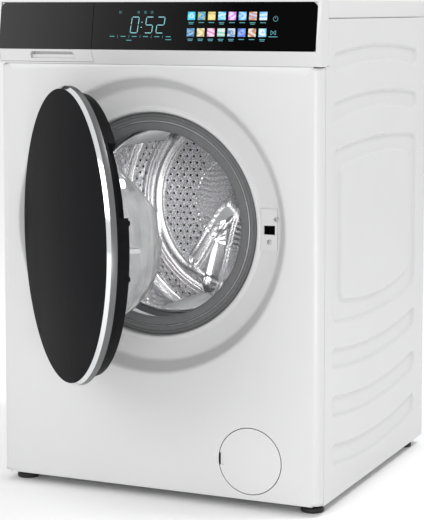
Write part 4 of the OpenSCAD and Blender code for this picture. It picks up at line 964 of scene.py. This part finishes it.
# point at (x, z) on the front of the glass, which rises by its slope towards the rear
def onGlass(x, z):
    low = boxOf("control_glass")[0]
    return xyz(x, low[1] + display["slope"] * (z - low[2]) - display["proud"], z)


# flat strokes: each row is (x0, z0, x1, z1, width), a bar from one point to the other
def strokes(rows):
    rows = np.asarray(rows, float)
    a, b, half = rows[:, 0:2], rows[:, 2:4], rows[:, 4:5] / 2
    along = (b - a) / np.linalg.norm(b - a, axis=1, keepdims=True)
    side = np.stack([-along[:, 1], along[:, 0]], -1) * half
    corners = np.stack([a - side, b - side, b + side, a + side], 1)
    return onGlass(corners[..., 0], corners[..., 1]), np.arange(len(rows) * 4).reshape(-1, 4)


# part of a circle as short strokes
def arcStrokes(x, z, radius, start, end, width, count):
    angle = np.radians(np.linspace(start, end, count + 1))
    px, pz = x + radius * np.cos(angle), z + radius * np.sin(angle)
    return [(px[i], pz[i], px[i + 1], pz[i + 1], width) for i in range(count)]


# the lit segments of a seven-segment digit, leaning: x grows by lean times z
def digitStrokes(x, z, lit):
    w, h = display["digit"]
    lean = display["lean"]
    middle = h / 2
    ends = {"a": (1, h, w - 1, h), "b": (w, h - 1, w, middle + 1), "c": (w, middle - 1, w, 1),
            "d": (1, 0, w - 1, 0), "e": (0, 1, 0, middle - 1), "f": (0, middle + 1, 0, h - 1),
            "g": (1, middle, w - 1, middle)}
    return [(x + x0 + lean * z0, z + z0, x + x1 + lean * z1, z + z1, display["stroke"])
            for x0, z0, x1, z1 in (ends[key] for key in lit)]


def makeDisplay():
    d = display
    clock = [row for x, lit in d["digits"] for row in digitStrokes(x, d["digitLow"], lit)] + d["colon"]
    marks = []
    z = d["iconHeight"]
    for x in d["icons"]:
        marks += arcStrokes(x, z, d["iconRadius"], 0, 360, d["fine"], 12)
        marks += [(x - 0.8, z, x + 0.8, z + 0.6, d["fine"])]
    for index, x in enumerate(d["captions"]):
        marks += [(x - 4.6, 789.4, x + 4.6, 789.4, 1.3)]
        if index < len(d["captions"]) - 1:
            marks += [(x + 10.5, 786.5, x + 11, 792, d["fine"])]
    marks += d["bars"]
    for row, z in enumerate(d["captionRows"]):
        for column in range(8):
            x = d["captionStart"] + d["pitch"] * column
            marks += [(x - 5, z, x + 5, z, 1.2)]
            if (row * 8 + column) % 3 == 0 or row == 1 and column < 5:
                marks += [(x - 4, z - 2.4, x + 4, z - 2.4, 1.1)]
    marks += arcStrokes(*d["ring"]) + d["ringStem"] + d["arrows"]
    for name, rows, colour in (("time_digits", clock, d["pale"]), ("key_marks", marks, d["cyan"])):
        tint = np.tile(colour, (len(rows) * 4, 1))
        piece(name, strokes(rows), "black_glass", "cabinet", finish=lamp, tint=tint, outward=False)


# dark, middle and light colour of each little picture, in hundredths
palette = [
    ((2, 45, 95), (0, 85, 100), (75, 98, 100)), ((0, 22, 60), (35, 62, 0), (70, 88, 98)),
    ((50, 36, 3), (95, 80, 25), (100, 97, 75)), ((0, 55, 95), (85, 97, 100), (60, 90, 95)),
    ((62, 15, 85), (92, 75, 100), (100, 100, 100)), ((5, 40, 90), (45, 85, 100), (95, 100, 100)),
    ((65, 22, 2), (95, 95, 100), (20, 35, 80)), ((10, 50, 90), (95, 98, 100), (35, 65, 90)),
    ((2, 12, 30), (10, 50, 85), (85, 95, 100)), ((60, 45, 12), (100, 95, 80), (80, 65, 25)),
    ((75, 15, 50), (100, 92, 98), (85, 45, 75)), ((15, 50, 38), (92, 100, 96), (50, 80, 72)),
    ((2, 25, 70), (85, 95, 100), (2, 3, 6)), ((3, 10, 65), (15, 40, 95), (85, 92, 100)),
    ((45, 16, 3), (100, 98, 95), (75, 42, 12)), ((5, 50, 90), (70, 93, 100), (100, 100, 100)),
]


# dark turns to middle by a sine wave of the picture's own direction, and to light along a bell-shaped ring
def makePictures():
    d = display
    fine = d["pictureGrid"]
    u, v = np.meshgrid(np.linspace(0, 1, fine), np.linspace(0, 1, fine))
    shells, tints = [], []
    for index, colours in enumerate(palette):
        dark, middle, light = np.array(colours) / 100
        x0, z0 = d["pictureStart"] + d["pitch"] * (index % 8), d["pictureRows"][index // 8]
        turn = index * 0.7
        along = u * math.cos(turn) + v * math.sin(turn)
        wave = 0.5 + 0.5 * np.sin(6.5 * along + 2.2 * np.sin(5 * v + index))
        fromRing = np.hypot(u - 0.5, v - 0.5) - 0.22 - 0.02 * (index % 4)
        ringed = np.exp(-fromRing ** 2 / 0.012) * (0.3 + 0.4 * ((index * 5) % 3 == 0))
        colour = dark + (middle - dark) * 0.75 * smoothStep(wave * 1.1)[..., None]
        colour = colour + (light - colour) * ringed[..., None]
        shells.append((onGlass(x0 + d["pictureSize"] * u, z0 + d["pictureSize"] * v), gridFaces(fine, fine)))
        tints.append(colour.reshape(-1, 3))
    piece("programme_pictures", joined(*shells), "black_glass", "cabinet", finish=lamp,
          tint=np.concatenate(tints), outward=False)


feet = {"neck": 9, "neckTop": 14, "stud": 5, "facets": 48}


# each foot is a section turned about its stud: a hollowed pad, a neck and the stud
def makeFeet():
    f = feet
    neck, neckTop, stud = f["neck"], f["neckTop"], f["stud"]
    for name in ("foot_front_left", "foot_front_right", "foot_rear_left", "foot_rear_right"):
        low, high = boxOf(name)
        r = (high[0] - low[0]) / 2
        section = softened([
            (0, 1.5, 0), (r - 6, 1.5, 0.5), (r - 5, 0, 1), (r - 1, 0, 1), (r, 3, 1.5), (r - 1, 8, 1.5),
            (r - 5, neck, 2), (neck, neck, 0.5), (neck - 1, neckTop, 1), (stud, neckTop, 0.5),
            (stud, high[2] - 1, 0.5), (stud - 1, high[2], 0.3), (0, high[2], 0)], closed=False)
        shell = turnedUp(section, (low[0] + high[0]) / 2, (low[1] + high[1]) / 2, f["facets"])
        piece(name.replace("foot", "level_foot"), shell, "black_rubber", name, (name,))


stage = {"half": 6.0, "dark": (0.97, 0.97, 0.97), "light": (0.98, 0.98, 0.98)}


def makeStage():
    h = stage["half"]
    mesh = bpy.data.meshes.new("floor")
    mesh.from_pydata([(-h, -h, 0), (h, -h, 0), (h, h, 0), (-h, h, 0)], [], [(0, 1, 2, 3)])
    floor = bpy.data.objects.new("floor", mesh)
    bpy.context.scene.collection.objects.link(floor)
    paper = Finish("pale_floor", specular=0.1, roughness=0.8)
    paper.tone(stage["dark"], stage["light"], paper.noise(900))
    mesh.materials.append(paper.material)


lights = {
    "key": {"at": (-1.2, -3.6, 2.2), "to": (0, -0.1, 0.45), "size": (2.2, 2.0), "power": 42},
    "rake": {"at": (1.5, 0.4, 2.9), "to": (0.3, 0, 0.45), "size": (0.6, 0.6), "power": 30},
    "fill": {"at": (0.9, -3.6, 0.35), "to": (0, -0.1, 0.5), "size": (1.6, 0.8), "power": 16},
    "low": {"at": (0.95, -1.5, 0.06), "to": (-0.1, -0.28, 0.7), "size": (0.5, 0.5), "power": 5},
    "drum": {"at": (0.12, -0.14, 0.50), "to": (-0.08, 0.1, 0.40), "size": (0.10, 0.18), "power": 0.7},
    "drumTop": {"at": (0.02, -0.13, 0.66), "to": (-0.10, 0.0, 0.30), "size": (0.10, 0.05), "power": 0.4},
}
skyStrength = 0.88


def makeLights():
    for name, lit in lights.items():
        data = bpy.data.lights.new(name, "AREA")
        data.shape = "RECTANGLE"
        data.size, data.size_y = lit["size"]
        data.energy = lit["power"]
        light = bpy.data.objects.new(name, data)
        bpy.context.scene.collection.objects.link(light)
        light.location = lit["at"]
        x, y, z = np.array(lit["to"]) - np.array(lit["at"])
        light.rotation_euler = (math.atan2(math.hypot(x, y), -z), 0, math.atan2(y, x) - math.pi / 2)
    world = bpy.data.worlds.new("studio")
    world.use_nodes = True
    sky = world.node_tree.nodes["Background"]
    sky.inputs["Color"].default_value = (1, 1, 1, 1)
    sky.inputs["Strength"].default_value = skyStrength
    bpy.context.scene.world = world
    bpy.context.scene.view_settings.view_transform = "Standard"


makeCamera()
makeFrontPanel()
makeSidePanel(1, "side_panel_right")
makeSidePanel(-1, "side_panel_left")
makeWorktop()
print("cabinet made")
makeDoor()
makeGasket()
for node, cabinetEnd in stretching.items():
    makeStretching(node)
print("door, gasket and hoses made")
makeDrum()
makeDrumRear()
makeLifters()
print("drum made")
makeDisplay()
makePictures()
makeFeet()
makeStage()
makeLights()
print("display, feet and stage made")
